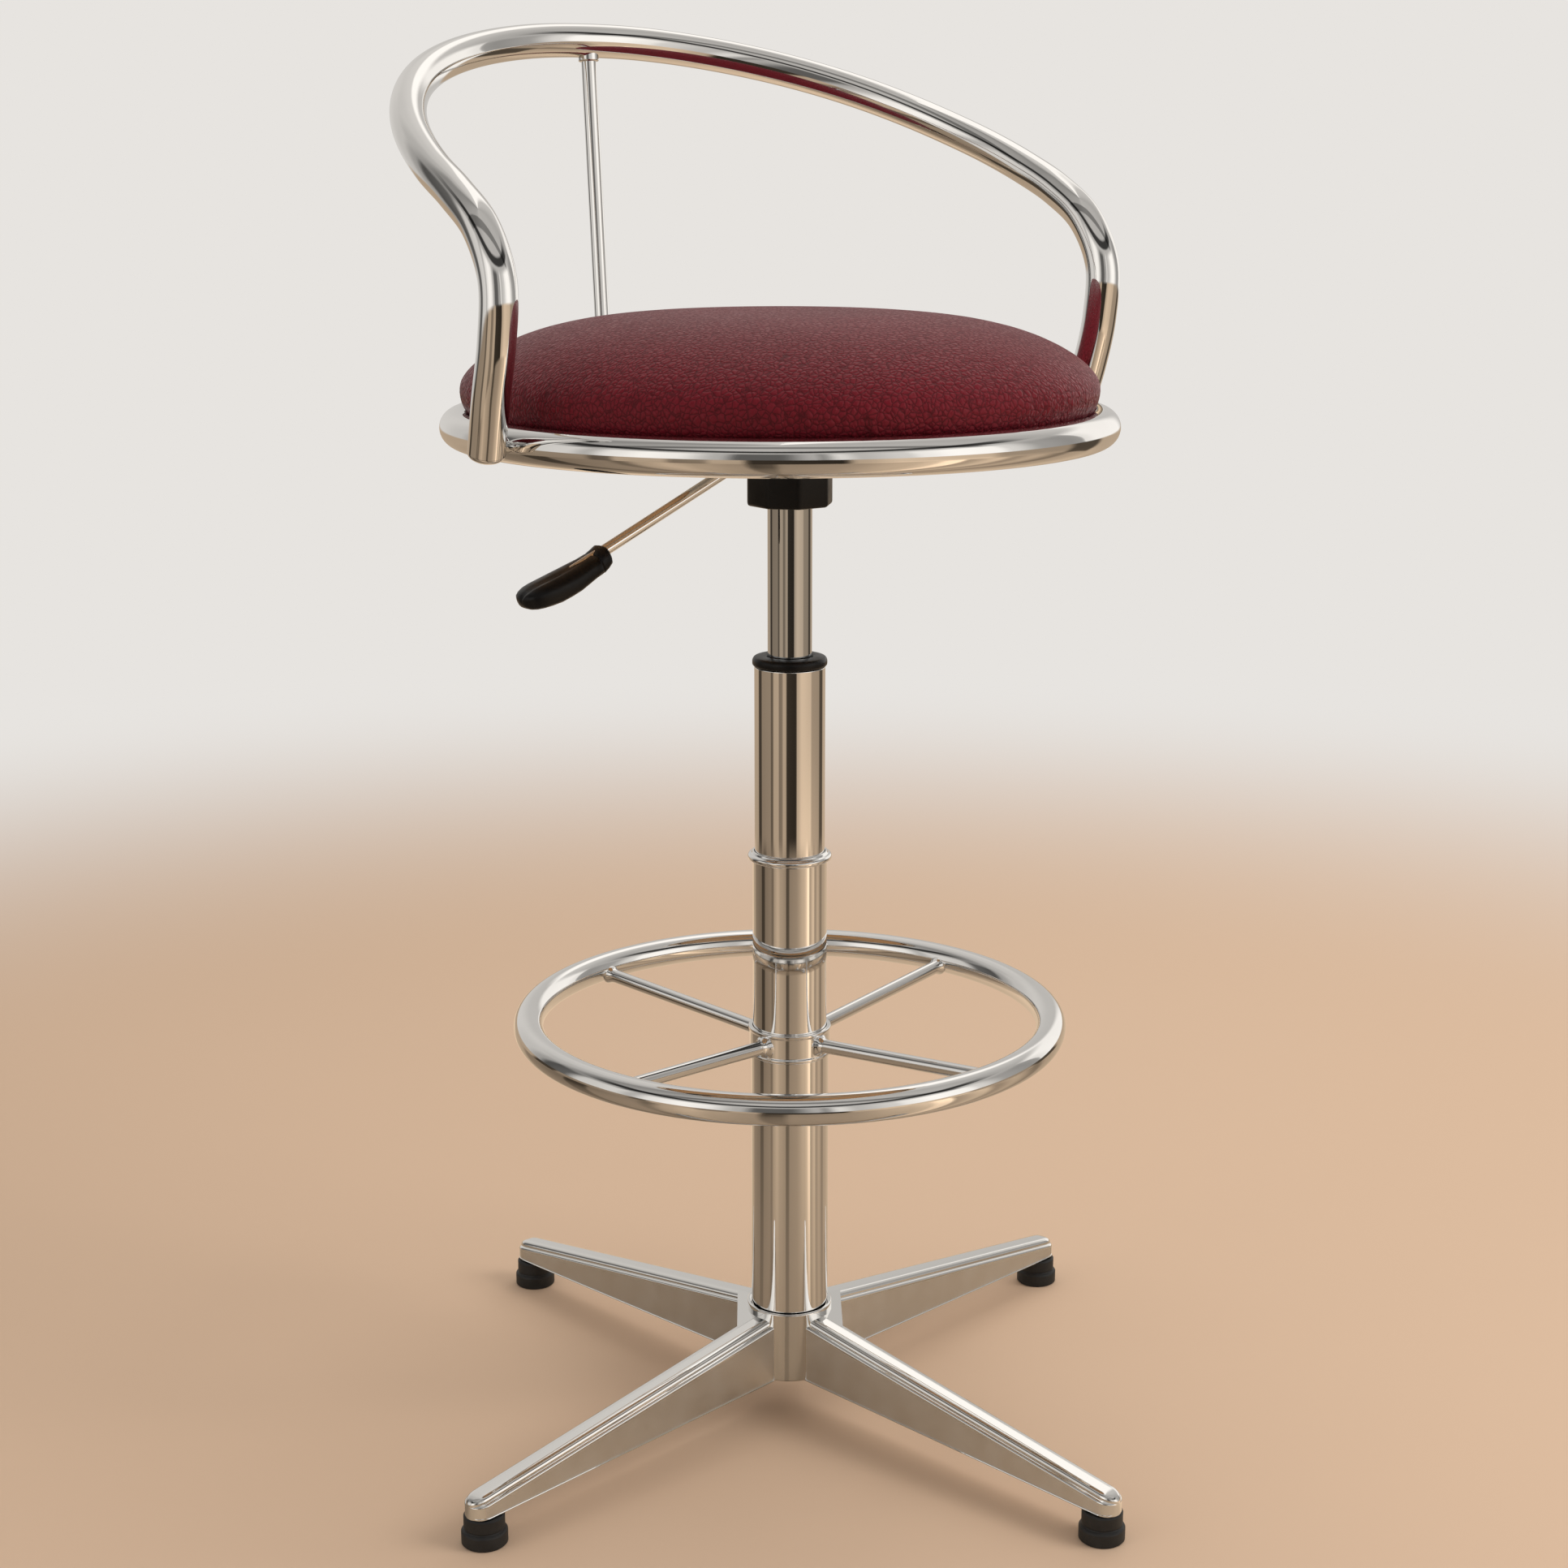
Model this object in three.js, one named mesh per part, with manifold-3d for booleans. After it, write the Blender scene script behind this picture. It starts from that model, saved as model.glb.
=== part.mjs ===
// Counter stool with a round seat, a wrap-round back rail, a foot ring and a gas-lift column.
// Millimetres, +Z up, origin on the floor under the column; the sitter faces -Y.
import * as THREE from 'three';
import { mergeVertices } from 'three/addons/utils/BufferGeometryUtils.js';
import Module from 'manifold-3d';

const wasm = await Module();
wasm.setup();

// Driving dimensions: heights above the floor, with the lift at mid travel.
const SEAT_RING_HEIGHT = 656;
const FOOT_RING_HEIGHT = 270;
const MIDDLE_TUBE_TOP = 378;
const HUB_UNDERSIDE = 25;
const LEG_TIP_UNDERSIDE = 19.5;

// Running and assembly clearance, and how far a cutting body overruns what it cuts.
const FIT = 0.3;
const OVERRUN = 5;

// Travel of the lift, and the gap left over the guide bush when the seat is right down.
const LIFT_UP = 55;
const LIFT_DOWN = 85;
const LOWEST_SEAT_GAP = 10.2;

// Four-legged base.
const LEG_COUNT = 4;
const BASE_TURN = THREE.MathUtils.degToRad(10.3);
const LEG_REACH = 277;
const LEG_TIP_DEPTH = 13;
const LEG_HUB_DEPTH = 46;
const FLANGE_HUB_WIDTH = 23.5;
const FLANGE_TIP_WIDTH = 20.5;
const FLANGE_DEPTH = 6.4;
const FLANGE_EDGE_ROUND = 5;
const RIB_HUB_WIDTH = 22.1;
const RIB_TIP_WIDTH = 19.1;
const TIP_ROUND = 9;
const WEB_REACH = 35;
const WEB_DEPTH = 9;
const BASE_HUB_WALL = 2.5;
const BASE_HUB_HEIGHT = 47.5;
const BASE_HUB_FLOOR = 6;

// Glides under the leg tips.
const GLIDE_INSET = 12;
const GLIDE_RADIUS = 14.2;
const GLIDE_NECK_RADIUS = 12.6;
const GLIDE_PAD_HEIGHT = 9.5;
const GLIDE_EDGE = 1.5;
const GLIDE_STUD_RADIUS = 4;
const GLIDE_STUD_LENGTH = 8;

// Bolt, washer and plug that hold the pedestal in the base.
const BASE_BOLT_RADIUS = 5;
const BASE_BOLT_HEAD_RADIUS = 8.5;
const BASE_BOLT_HEAD_HEIGHT = 6.4;
const BASE_WASHER_RADIUS = 16;
const BASE_WASHER_THICKNESS = 2;
const PLUG_HEIGHT = 16;

// Nested column tubes, each sized to slide in the one below it.
const LOWER_TUBE_RADIUS = 25.4;
const LOWER_TUBE_WALL = 1.1;
const MIDDLE_TUBE_WALL = 1.2;
const MIDDLE_TUBE_OVERLAP = 57;
const STAND_TUBE_WALL = 1.5;
const STAND_TUBE_LENGTH = 264;
const STAND_TUBE_FLOOR = 6;
const TRIM_RADIUS = 27;
const TRIM_LIP_WIDTH = 2.2;
const TRIM_FLANGE_HEIGHT = 3.4;
const TRIM_HEIGHT = 5.6;

// Foot ring, its hub and its spokes.
const FOOT_RING_RADIUS = 170;
const FOOT_RING_TUBE = 19;
const FOOT_HUB_DROP = 23;
const FOOT_HUB_HEIGHT = 18.7;
const FOOT_HUB_WALL = 2;
const FOOT_HUB_RIM = 0.7;
const FOOT_HUB_RIM_HEIGHT = 2;
const SPOKE_COUNT = 4;
const SPOKE_TURN = THREE.MathUtils.degToRad(14.6);
const SPOKE_DIAMETER = 9;
const SPOKE_DROP = 3;
const SET_SCREW_RADIUS = 2.5;
const SET_SCREW_LENGTH = 4.5;
const SET_SCREW_ANGLES = [30, 75].map(THREE.MathUtils.degToRad);

// Gas lift.
const CYLINDER_RADIUS = 14;
const CYLINDER_WALL = 1.8;
const CYLINDER_DROP = 26.5;
const CYLINDER_GLAND_HEIGHT = 14;
const CYLINDER_HEAD_HEIGHT = 32;
const BUSH_FLANGE_RADIUS = 23.8;
const BUSH_FLANGE_HEIGHT = 6.7;
const BUSH_SPIGOT_LENGTH = 40;
const BUSH_LIP_ROUND = 2.6;
const ROD_RADIUS = 5;
const ROD_TAIL_RADIUS = 4;
const ROD_TAIL_LENGTH = 21;
const PISTON_HEIGHT = 12;
const PISTON_MARGIN = 19;
const RACE_RADIUS = 12.5;
const RACE_THICKNESS = 1.5;
const CAGE_THICKNESS = 1.4;
const BALL_RADIUS = 1.5;
const BALL_COUNT = 8;
const BUMPER_RADIUS = 10;
const BUMPER_HEIGHT = 27.5;
const CLIP_GROOVE_DEPTH = 0.9;
const CLIP_THICKNESS = 1.6;
const CLIP_RADIUS = 8;
const CLIP_OPENING = THREE.MathUtils.degToRad(70);
const RELEASE_PIN_RADIUS = 4;
const RELEASE_PIN_LENGTH = 14;
const RELEASE_PIN_PROUD = 4.2;
const RELEASE_PIN_STROKE = 2.6;

// Seat ring with its centre behind the column, cross bars, mechanism plate and bolts.
const SEAT_SET_BACK = 10.5;
const SEAT_RING_RADIUS = 199.5;
const SEAT_RING_TUBE = 22;
const BAR_WIDTH = 30;
const BAR_THICKNESS = 5;
const BAR_SPACING = 90;
const BAR_DROP = 7.7;
const PLATE_LENGTH = 150;
const PLATE_WIDTH = 128;
const PLATE_THICKNESS = 3;
const PLATE_CORNER = 14;
const SEAT_BOLT_RADIUS = 3;
const SEAT_BOLT_HEAD_RADIUS = 5.5;
const SEAT_BOLT_HEAD_HEIGHT = 4;
const SEAT_BOLT_SPACING = 110;
const SEAT_BOLT_GRIP = 9;

// Socket, its cover, and the lever with its pivot.
const SOCKET_RADIUS = 22;
const SOCKET_HEIGHT = 34;
const COVER_HEIGHT = 38.5;
const COVER_WALL = 3.2;
const COVER_FLOOR = 2.5;
const COVER_SIDES = 8;
const COVER_CHAMFER = 2.4;
const PIVOT_REACH = 18.5;
const PIVOT_PIN_RADIUS = 1.6;
const PIVOT_PIN_LENGTH = 22;
const LEVER_ROD_RADIUS = 3.5;
const LEVER_TOE = 3;
const LEVER_STRAIGHT = 24.2;
const LEVER_BEND = 8;
const LEVER_SLOPE = THREE.MathUtils.degToRad(25.1);
const LEVER_SLOPE_LENGTH = 140.2;
const LEVER_SLOT_CLEARANCE = 1.6;
const HANDLE_LENGTH = 63;
const HANDLE_WIDTH = 28;
const HANDLE_THICKNESS = 15;
const HANDLE_DROP = 3.5;
const HANDLE_SQUARENESS = 3;
const HANDLE_GRIP_DEPTH = 26;

// Seat board and cushion.
const BOARD_THICKNESS = 12;
const BOARD_MARGIN = 4.5;
const CUSHION_RADIUS = 198.4;
const CUSHION_CROWN = 45.5;
const CUSHION_WAIST = 23.5;
const CUSHION_DRAW_IN = 11;
const CUSHION_COVER = 2;
const CROWN_FLATNESS = 3.5;
const CROWN_SHOULDER = 1.5;

// Back rail, its standoff from the seat ring, and the strut.
const RAIL_TUBE = 22;
const RAIL_STANDOFF = 1.6;
const RAIL_RISE = 239.8;
const RAIL_FOOT_FORWARD = 25.2;
const RAIL_FOOT_DROP = 2.3;
const RAIL_PLUG_HEIGHT = 5;
const SPACER_WIDTH = 9;
const SPACER_RISE = 2;
const SPACER_HEIGHT = 9;
const STRUT_DIAMETER = 10;
const STRUT_CLEARANCE = 3;
const STRUT_COLLAR_RADIUS = 8;
const STRUT_COLLAR_HEIGHT = 9;

// How round a turned or swept piece is drawn.
const RING_STEPS = 48;
const CUSHION_STEPS = 40;
const TUBE_SIDES = 10;
const TURNED_STEPS = 32;
const SMALL_STEPS = 12;
const RAIL_STEPS = 60;
const LEVER_STEPS = 16;
const FASTENER_STEPS = 8;
const BALL_STEPS = 6;
const CLIP_STEPS = 4;

// Points closer than this are drawn as one.
const SAME_POINT = 1e-4;

const chrome = new THREE.MeshStandardMaterial({ color: 0xd8d8d6, roughness: 0.08, metalness: 1 });
const aluminium = new THREE.MeshStandardMaterial({ color: 0xc4c2be, roughness: 0.25, metalness: 1 });
const steel = new THREE.MeshStandardMaterial({ color: 0x9a9a98, roughness: 0.4, metalness: 1 });
const blackPlastic = new THREE.MeshStandardMaterial({ color: 0x17171a, roughness: 0.45, metalness: 0 });
const rubber = new THREE.MeshStandardMaterial({ color: 0x1b1b1b, roughness: 0.8, metalness: 0 });
const leatherette = new THREE.MeshStandardMaterial({ color: 0x5e1420, roughness: 0.45, metalness: 0 });
const foam = new THREE.MeshStandardMaterial({ color: 0xe6dfc4, roughness: 0.95, metalness: 0 });
const plywood = new THREE.MeshStandardMaterial({ color: 0xc39a6b, roughness: 0.7, metalness: 0 });

const stool = new THREE.Group();

function add(name, geometry, material) {
  const mesh = new THREE.Mesh(geometry, material);
  mesh.name = name;
  stool.add(mesh);
  return mesh;
}

// A geometry as a solid with shared vertices and its faces pointing out.
function solidOf(geometry) {
  const plain = geometry.index ? geometry.toNonIndexed() : geometry.clone();
  plain.deleteAttribute('normal');
  plain.deleteAttribute('uv');
  const merged = mergeVertices(plain, SAME_POINT);
  const place = merged.attributes.position;
  const vertices = Float32Array.from(place.array);
  const corners = [];
  let volume = 0;
  const [a, b, c] = [new THREE.Vector3(), new THREE.Vector3(), new THREE.Vector3()];
  for (let i = 0; i < merged.index.count; i += 3) {
    const triangle = [0, 1, 2].map((k) => merged.index.getX(i + k));
    if (new Set(triangle).size < triangle.length) continue;
    corners.push(triangle);
    a.fromBufferAttribute(place, triangle[0]);
    b.fromBufferAttribute(place, triangle[1]);
    c.fromBufferAttribute(place, triangle[2]);
    volume += a.dot(b.cross(c));
  }
  const outward = volume > 0 ? corners : corners.map(([i, j, k]) => [i, k, j]);
  const triVerts = Uint32Array.from(outward.flat());
  return new wasm.Manifold(new wasm.Mesh({ numProp: 3, vertProperties: vertices, triVerts }));
}

function geometryOf(solid) {
  const mesh = solid.getMesh();
  const geometry = new THREE.BufferGeometry();
  geometry.setAttribute('position', new THREE.BufferAttribute(mesh.vertProperties, 3));
  geometry.setIndex(new THREE.BufferAttribute(mesh.triVerts, 1));
  geometry.computeVertexNormals();
  return geometry;
}

function cut(geometry, ...tools) {
  return geometryOf(tools.reduce((rest, tool) => rest.subtract(solidOf(tool)), solidOf(geometry)));
}

function join(first, ...others) {
  return geometryOf(others.reduce((whole, other) => whole.add(solidOf(other)), solidOf(first)));
}

function outward(geometry) {
  return geometryOf(solidOf(geometry));
}

// A profile of [radius, height] points turned about the Z axis.
function turned(profile, steps = TURNED_STEPS) {
  const points = profile.map(([radius, height]) => new THREE.Vector2(radius, height));
  return outward(new THREE.LatheGeometry(points, steps).rotateX(Math.PI / 2));
}

function pipe(outer, inner, low, high, steps = TURNED_STEPS) {
  return turned([[inner, low], [outer, low], [outer, high], [inner, high], [inner, low]], steps);
}

function disc(radius, low, high, steps = TURNED_STEPS) {
  return turned([[0, low], [radius, low], [radius, high], [0, high]], steps);
}

function block(from, to) {
  const size = to.map((value, axis) => value - from[axis]);
  const centre = to.map((value, axis) => (value + from[axis]) / 2);
  return new THREE.BoxGeometry(...size).translate(...centre);
}

function rodBetween(start, end, radius, steps = SMALL_STEPS) {
  const along = end.clone().sub(start);
  const direction = along.clone().normalize();
  const turn = new THREE.Quaternion().setFromUnitVectors(THREE.Object3D.DEFAULT_UP, direction);
  const middle = start.clone().add(end).divideScalar(2);
  const rod = new THREE.CylinderGeometry(radius, radius, along.length(), steps);
  return outward(rod.applyQuaternion(turn).translate(...middle));
}

function ringTube(radius, tube, height, back = 0) {
  return outward(new THREE.TorusGeometry(radius, tube, TUBE_SIDES, RING_STEPS).translate(0, back, height));
}

function sweptTube(path, radius, steps, sides = TUBE_SIDES) {
  const corners = Array.from({ length: sides }, (_, k) => {
    const angle = (2 * Math.PI * k) / sides;
    return new THREE.Vector2(radius * Math.cos(angle), radius * Math.sin(angle));
  });
  const section = new THREE.Shape(corners);
  return outward(new THREE.ExtrudeGeometry(section, { steps, extrudePath: path, bevelEnabled: false }));
}

// Closed rings of points, joined ring to ring and capped at both ends.
function loft(rings) {
  const count = rings[0].length;
  const vertices = rings.flat();
  const triangles = [];
  for (let r = 0; r + 1 < rings.length; r += 1) {
    for (let k = 0; k < count; k += 1) {
      const next = (k + 1) % count;
      const [a, b] = [r * count + k, r * count + next];
      triangles.push([a, b, b + count], [a, b + count, a + count]);
    }
  }
  const last = (rings.length - 1) * count;
  for (let k = 1; k + 1 < count; k += 1) {
    triangles.push([0, k + 1, k], [last, last + k, last + k + 1]);
  }
  const geometry = new THREE.BufferGeometry();
  const values = Float32Array.from(vertices.flatMap((vertex) => vertex.toArray()));
  geometry.setAttribute('position', new THREE.BufferAttribute(values, 3));
  geometry.setIndex(triangles.flat());
  return outward(geometry);
}

function extruded(shape, low, high) {
  const depth = high - low;
  const plate = new THREE.ExtrudeGeometry(shape, { depth, bevelEnabled: false, curveSegments: CLIP_STEPS });
  return outward(plate.translate(0, 0, low));
}

// Heights under the seat ring, and below them those of the guide bush and the tube that holds it.
const barLow = SEAT_RING_HEIGHT - BAR_DROP;
const barHigh = barLow + BAR_THICKNESS;
const plateHigh = barLow - FIT;
const plateLow = plateHigh - PLATE_THICKNESS;
const coverHigh = plateLow - FIT;
const coverLow = coverHigh - COVER_HEIGHT;
const bushTop = coverLow - LIFT_DOWN - LOWEST_SEAT_GAP;
const bushLow = bushTop - BUSH_FLANGE_HEIGHT;
const standTubeTop = bushLow - FIT;

// Base casting: a hub with four legs of tee section, and a web on each side of the hub.
const legHubTop = HUB_UNDERSIDE + LEG_HUB_DEPTH;
const legTipTop = LEG_TIP_UNDERSIDE + LEG_TIP_DEPTH;
const baseHubBore = LOWER_TUBE_RADIUS + FIT;
const baseHubRadius = baseHubBore + BASE_HUB_WALL;
const baseHubTop = HUB_UNDERSIDE + BASE_HUB_HEIGHT;
const baseFloorTop = HUB_UNDERSIDE + BASE_HUB_FLOOR;
const glideReach = LEG_REACH - GLIDE_INSET;

function legSection(reach, narrowing, sinking) {
  const share = reach / LEG_REACH;
  const flange = THREE.MathUtils.lerp(FLANGE_HUB_WIDTH, FLANGE_TIP_WIDTH, share) / 2 - narrowing;
  const rib = THREE.MathUtils.lerp(RIB_HUB_WIDTH, RIB_TIP_WIDTH, share) / 2 - narrowing;
  const top = THREE.MathUtils.lerp(legHubTop, legTipTop, share) - sinking;
  const ledge = THREE.MathUtils.lerp(legHubTop, legTipTop, share) - FLANGE_DEPTH - sinking / 2;
  const underside = THREE.MathUtils.lerp(HUB_UNDERSIDE, LEG_TIP_UNDERSIDE, share);
  const round = Math.min(FLANGE_EDGE_ROUND, flange, top - ledge);
  const diagonal = round * (1 - Math.SQRT1_2);
  const right = [
    [rib, underside],
    [rib, ledge],
    [flange, ledge],
    [flange, top - round],
    [flange - diagonal, top - diagonal],
    [flange - round, top],
  ];
  const left = right.map(([side, height]) => [-side, height]).reverse();
  return [...right, ...left].map(([side, height]) => new THREE.Vector3(reach, side, height));
}

function leg() {
  const tipAngles = [0, 30, 60, 80].map(THREE.MathUtils.degToRad);
  const tip = tipAngles.map((angle) => {
    const inset = TIP_ROUND * (1 - Math.cos(angle));
    return legSection(LEG_REACH - TIP_ROUND * (1 - Math.sin(angle)), inset, inset);
  });
  return loft([legSection(0, 0, 0), ...tip]);
}

const legs = Array.from({ length: LEG_COUNT }, (_, k) => leg().rotateZ((2 * Math.PI * k) / LEG_COUNT));

// A web fills the corner between two legs, level with their flat tops, and is cut square across the corner.
function web() {
  const near = FLANGE_HUB_WIDTH / 2 - FLANGE_EDGE_ROUND;
  const far = WEB_REACH * Math.SQRT2 - near;
  const corners = [[near, near], [far, near], [near, far]];
  return loft([-WEB_DEPTH, 0].map((rise) => corners.map(([x, y]) => {
    const level = THREE.MathUtils.lerp(legHubTop, legTipTop, (x + y - near) / LEG_REACH);
    return new THREE.Vector3(x, y, level + rise);
  })));
}

const webs = [1, 3].map((k) => web().rotateZ((2 * Math.PI * k) / LEG_COUNT));
const studTop = LEG_TIP_UNDERSIDE + GLIDE_STUD_LENGTH;
const studHoles = Array.from({ length: LEG_COUNT }, (_, k) => {
  const hole = disc(GLIDE_STUD_RADIUS + FIT, LEG_TIP_UNDERSIDE - OVERRUN, studTop + FIT, SMALL_STEPS);
  return hole.translate(glideReach, 0, 0).rotateZ((2 * Math.PI * k) / LEG_COUNT);
});
const baseBody = join(disc(baseHubRadius, HUB_UNDERSIDE, baseHubTop), ...legs, ...webs);
const baseStar = cut(
  baseBody,
  disc(baseHubBore, baseFloorTop, baseHubTop + OVERRUN),
  disc(BASE_BOLT_RADIUS + FIT, HUB_UNDERSIDE - OVERRUN, baseFloorTop + OVERRUN, SMALL_STEPS),
  ...studHoles,
);
add('base_star', baseStar.rotateZ(BASE_TURN), aluminium);

// Glides: a rubber pad with a narrower neck, moulded on a stud that screws into the leg.
const glideTop = LEG_TIP_UNDERSIDE - FIT;
for (let k = 0; k < LEG_COUNT; k += 1) {
  const glide = turned(
    [
      [0, 0],
      [GLIDE_RADIUS - GLIDE_EDGE, 0],
      [GLIDE_RADIUS, GLIDE_EDGE],
      [GLIDE_RADIUS, GLIDE_PAD_HEIGHT - GLIDE_EDGE],
      [GLIDE_NECK_RADIUS, GLIDE_PAD_HEIGHT],
      [GLIDE_NECK_RADIUS, glideTop],
      [GLIDE_STUD_RADIUS, glideTop],
      [GLIDE_STUD_RADIUS, studTop],
      [0, studTop],
    ],
    SMALL_STEPS,
  );
  const turn = BASE_TURN + (2 * Math.PI * k) / LEG_COUNT;
  add(`glide_${k + 1}`, glide.translate(glideReach, 0, 0).rotateZ(turn), rubber);
}

// Pedestal fixing: a plug in the foot of the lower tube, drawn down on the hub floor by a bolt.
const plugLow = baseFloorTop + FIT;
const plugHigh = plugLow + PLUG_HEIGHT;
const washerShare = BASE_WASHER_RADIUS / LEG_REACH;
const washerTop = THREE.MathUtils.lerp(HUB_UNDERSIDE, LEG_TIP_UNDERSIDE, washerShare) - FIT;
const washerLow = washerTop - BASE_WASHER_THICKNESS;
const boltSeat = washerLow - FIT;
const lowerTubeBore = LOWER_TUBE_RADIUS - LOWER_TUBE_WALL;
const lowerTubeTop = FOOT_RING_HEIGHT - FOOT_HUB_DROP;
add('pedestal_plug', pipe(lowerTubeBore - FIT, BASE_BOLT_RADIUS + FIT, plugLow, plugHigh), steel);
const washer = pipe(BASE_WASHER_RADIUS, BASE_BOLT_RADIUS + FIT, washerLow, washerTop, SMALL_STEPS);
add('base_washer', washer, steel);
const baseBolt = turned(
  [
    [0, boltSeat - BASE_BOLT_HEAD_HEIGHT],
    [BASE_BOLT_HEAD_RADIUS, boltSeat - BASE_BOLT_HEAD_HEIGHT],
    [BASE_BOLT_HEAD_RADIUS, boltSeat],
    [BASE_BOLT_RADIUS, boltSeat],
    [BASE_BOLT_RADIUS, plugHigh],
    [0, plugHigh],
  ],
  SMALL_STEPS,
);
add('base_bolt', baseBolt, steel);

// Column tubes: lower and middle tubes, the stand tube with its closed foot, and the trim ring.
const middleTubeRadius = lowerTubeBore - FIT;
const middleTubeBore = middleTubeRadius - MIDDLE_TUBE_WALL;
const standTubeRadius = middleTubeBore - FIT;
const standTubeBore = standTubeRadius - STAND_TUBE_WALL;
const standTubeLow = standTubeTop - STAND_TUBE_LENGTH;
const standFloorTop = standTubeLow + STAND_TUBE_FLOOR;
const trimLow = MIDDLE_TUBE_TOP + FIT;
add('lower_tube', pipe(LOWER_TUBE_RADIUS, lowerTubeBore, plugLow, lowerTubeTop), chrome);
const middleTubeLow = lowerTubeTop - MIDDLE_TUBE_OVERLAP;
add('middle_tube', pipe(middleTubeRadius, middleTubeBore, middleTubeLow, MIDDLE_TUBE_TOP), chrome);
const standTube = turned([
  [ROD_TAIL_RADIUS + FIT, standTubeLow],
  [standTubeRadius, standTubeLow],
  [standTubeRadius, standTubeTop],
  [standTubeBore, standTubeTop],
  [standTubeBore, standFloorTop],
  [ROD_TAIL_RADIUS + FIT, standFloorTop],
  [ROD_TAIL_RADIUS + FIT, standTubeLow],
]);
add('stand_tube', standTube, chrome);
const trimRing = turned([
  [standTubeRadius + FIT, trimLow],
  [TRIM_RADIUS, trimLow],
  [TRIM_RADIUS, trimLow + TRIM_FLANGE_HEIGHT],
  [standTubeRadius + TRIM_LIP_WIDTH, trimLow + TRIM_HEIGHT],
  [standTubeRadius + FIT, trimLow + TRIM_HEIGHT],
  [standTubeRadius + FIT, trimLow],
]);
add('trim_ring', trimRing, chrome);

// Guide bush: a rounded black flange on the stand tube, with a spigot inside it.
const cylinderBore = CYLINDER_RADIUS + FIT;
const guideBush = turned([
  [cylinderBore, bushLow - BUSH_SPIGOT_LENGTH],
  [standTubeBore - FIT, bushLow - BUSH_SPIGOT_LENGTH],
  [standTubeBore - FIT, bushLow],
  [BUSH_FLANGE_RADIUS - BUSH_LIP_ROUND / 2, bushLow],
  [BUSH_FLANGE_RADIUS, bushLow + BUSH_LIP_ROUND / 2],
  [BUSH_FLANGE_RADIUS, bushTop - BUSH_LIP_ROUND],
  [BUSH_FLANGE_RADIUS - BUSH_LIP_ROUND, bushTop],
  [cylinderBore, bushTop],
  [cylinderBore, bushLow - BUSH_SPIGOT_LENGTH],
]);
add('guide_bush', guideBush, blackPlastic);

// Foot ring: a rimmed hub that stands on the shoulder of the lower tube, four spokes and the ring.
const footHubLow = lowerTubeTop + FIT;
const footHubHigh = footHubLow + FOOT_HUB_HEIGHT;
const footHubBore = middleTubeRadius + FIT;
const footHubRadius = footHubBore + FOOT_HUB_WALL;
const footHubMiddle = (footHubLow + footHubHigh) / 2;
const footHubBody = turned([
  [footHubBore, footHubLow],
  [footHubRadius + FOOT_HUB_RIM, footHubLow],
  [footHubRadius + FOOT_HUB_RIM, footHubLow + FOOT_HUB_RIM_HEIGHT],
  [footHubRadius, footHubLow + FOOT_HUB_RIM_HEIGHT + FOOT_HUB_RIM],
  [footHubRadius, footHubHigh - FOOT_HUB_RIM_HEIGHT - FOOT_HUB_RIM],
  [footHubRadius + FOOT_HUB_RIM, footHubHigh - FOOT_HUB_RIM_HEIGHT],
  [footHubRadius + FOOT_HUB_RIM, footHubHigh],
  [footHubBore, footHubHigh],
  [footHubBore, footHubLow],
]);

function radialPoint(radius, angle, height) {
  return new THREE.Vector3(radius * Math.cos(angle), radius * Math.sin(angle), height);
}

const setScrewEnds = SET_SCREW_ANGLES.map((angle) => [
  radialPoint(footHubBore + FIT, angle, footHubMiddle),
  radialPoint(footHubBore + FIT + SET_SCREW_LENGTH, angle, footHubMiddle),
]);
const screwHoles = SET_SCREW_ANGLES.map((angle) => rodBetween(
  radialPoint(footHubBore - OVERRUN, angle, footHubMiddle),
  radialPoint(footHubRadius + OVERRUN, angle, footHubMiddle),
  SET_SCREW_RADIUS + FIT,
  FASTENER_STEPS,
));
add('foot_ring_hub', cut(footHubBody, ...screwHoles), chrome);
setScrewEnds.forEach(([start, end], k) => {
  add(`set_screw_${k + 1}`, rodBetween(start, end, SET_SCREW_RADIUS, FASTENER_STEPS), steel);
});
const footRingTube = FOOT_RING_TUBE / 2;
add('foot_ring', ringTube(FOOT_RING_RADIUS, footRingTube, FOOT_RING_HEIGHT), chrome);
const footRingNotch = ringTube(FOOT_RING_RADIUS, footRingTube + FIT, FOOT_RING_HEIGHT);
const footHubNotch = disc(footHubRadius + FIT, footHubLow - OVERRUN, footHubHigh + OVERRUN);
for (let k = 0; k < SPOKE_COUNT; k += 1) {
  const angle = SPOKE_TURN + (2 * Math.PI * k) / SPOKE_COUNT;
  const start = radialPoint(footHubBore, angle, footHubMiddle);
  const end = radialPoint(FOOT_RING_RADIUS - SPOKE_DROP, angle, FOOT_RING_HEIGHT - SPOKE_DROP);
  const spoke = rodBetween(start, end, SPOKE_DIAMETER / 2, TUBE_SIDES);
  add(`spoke_${k + 1}`, cut(spoke, footRingNotch, footHubNotch), chrome);
}

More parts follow.
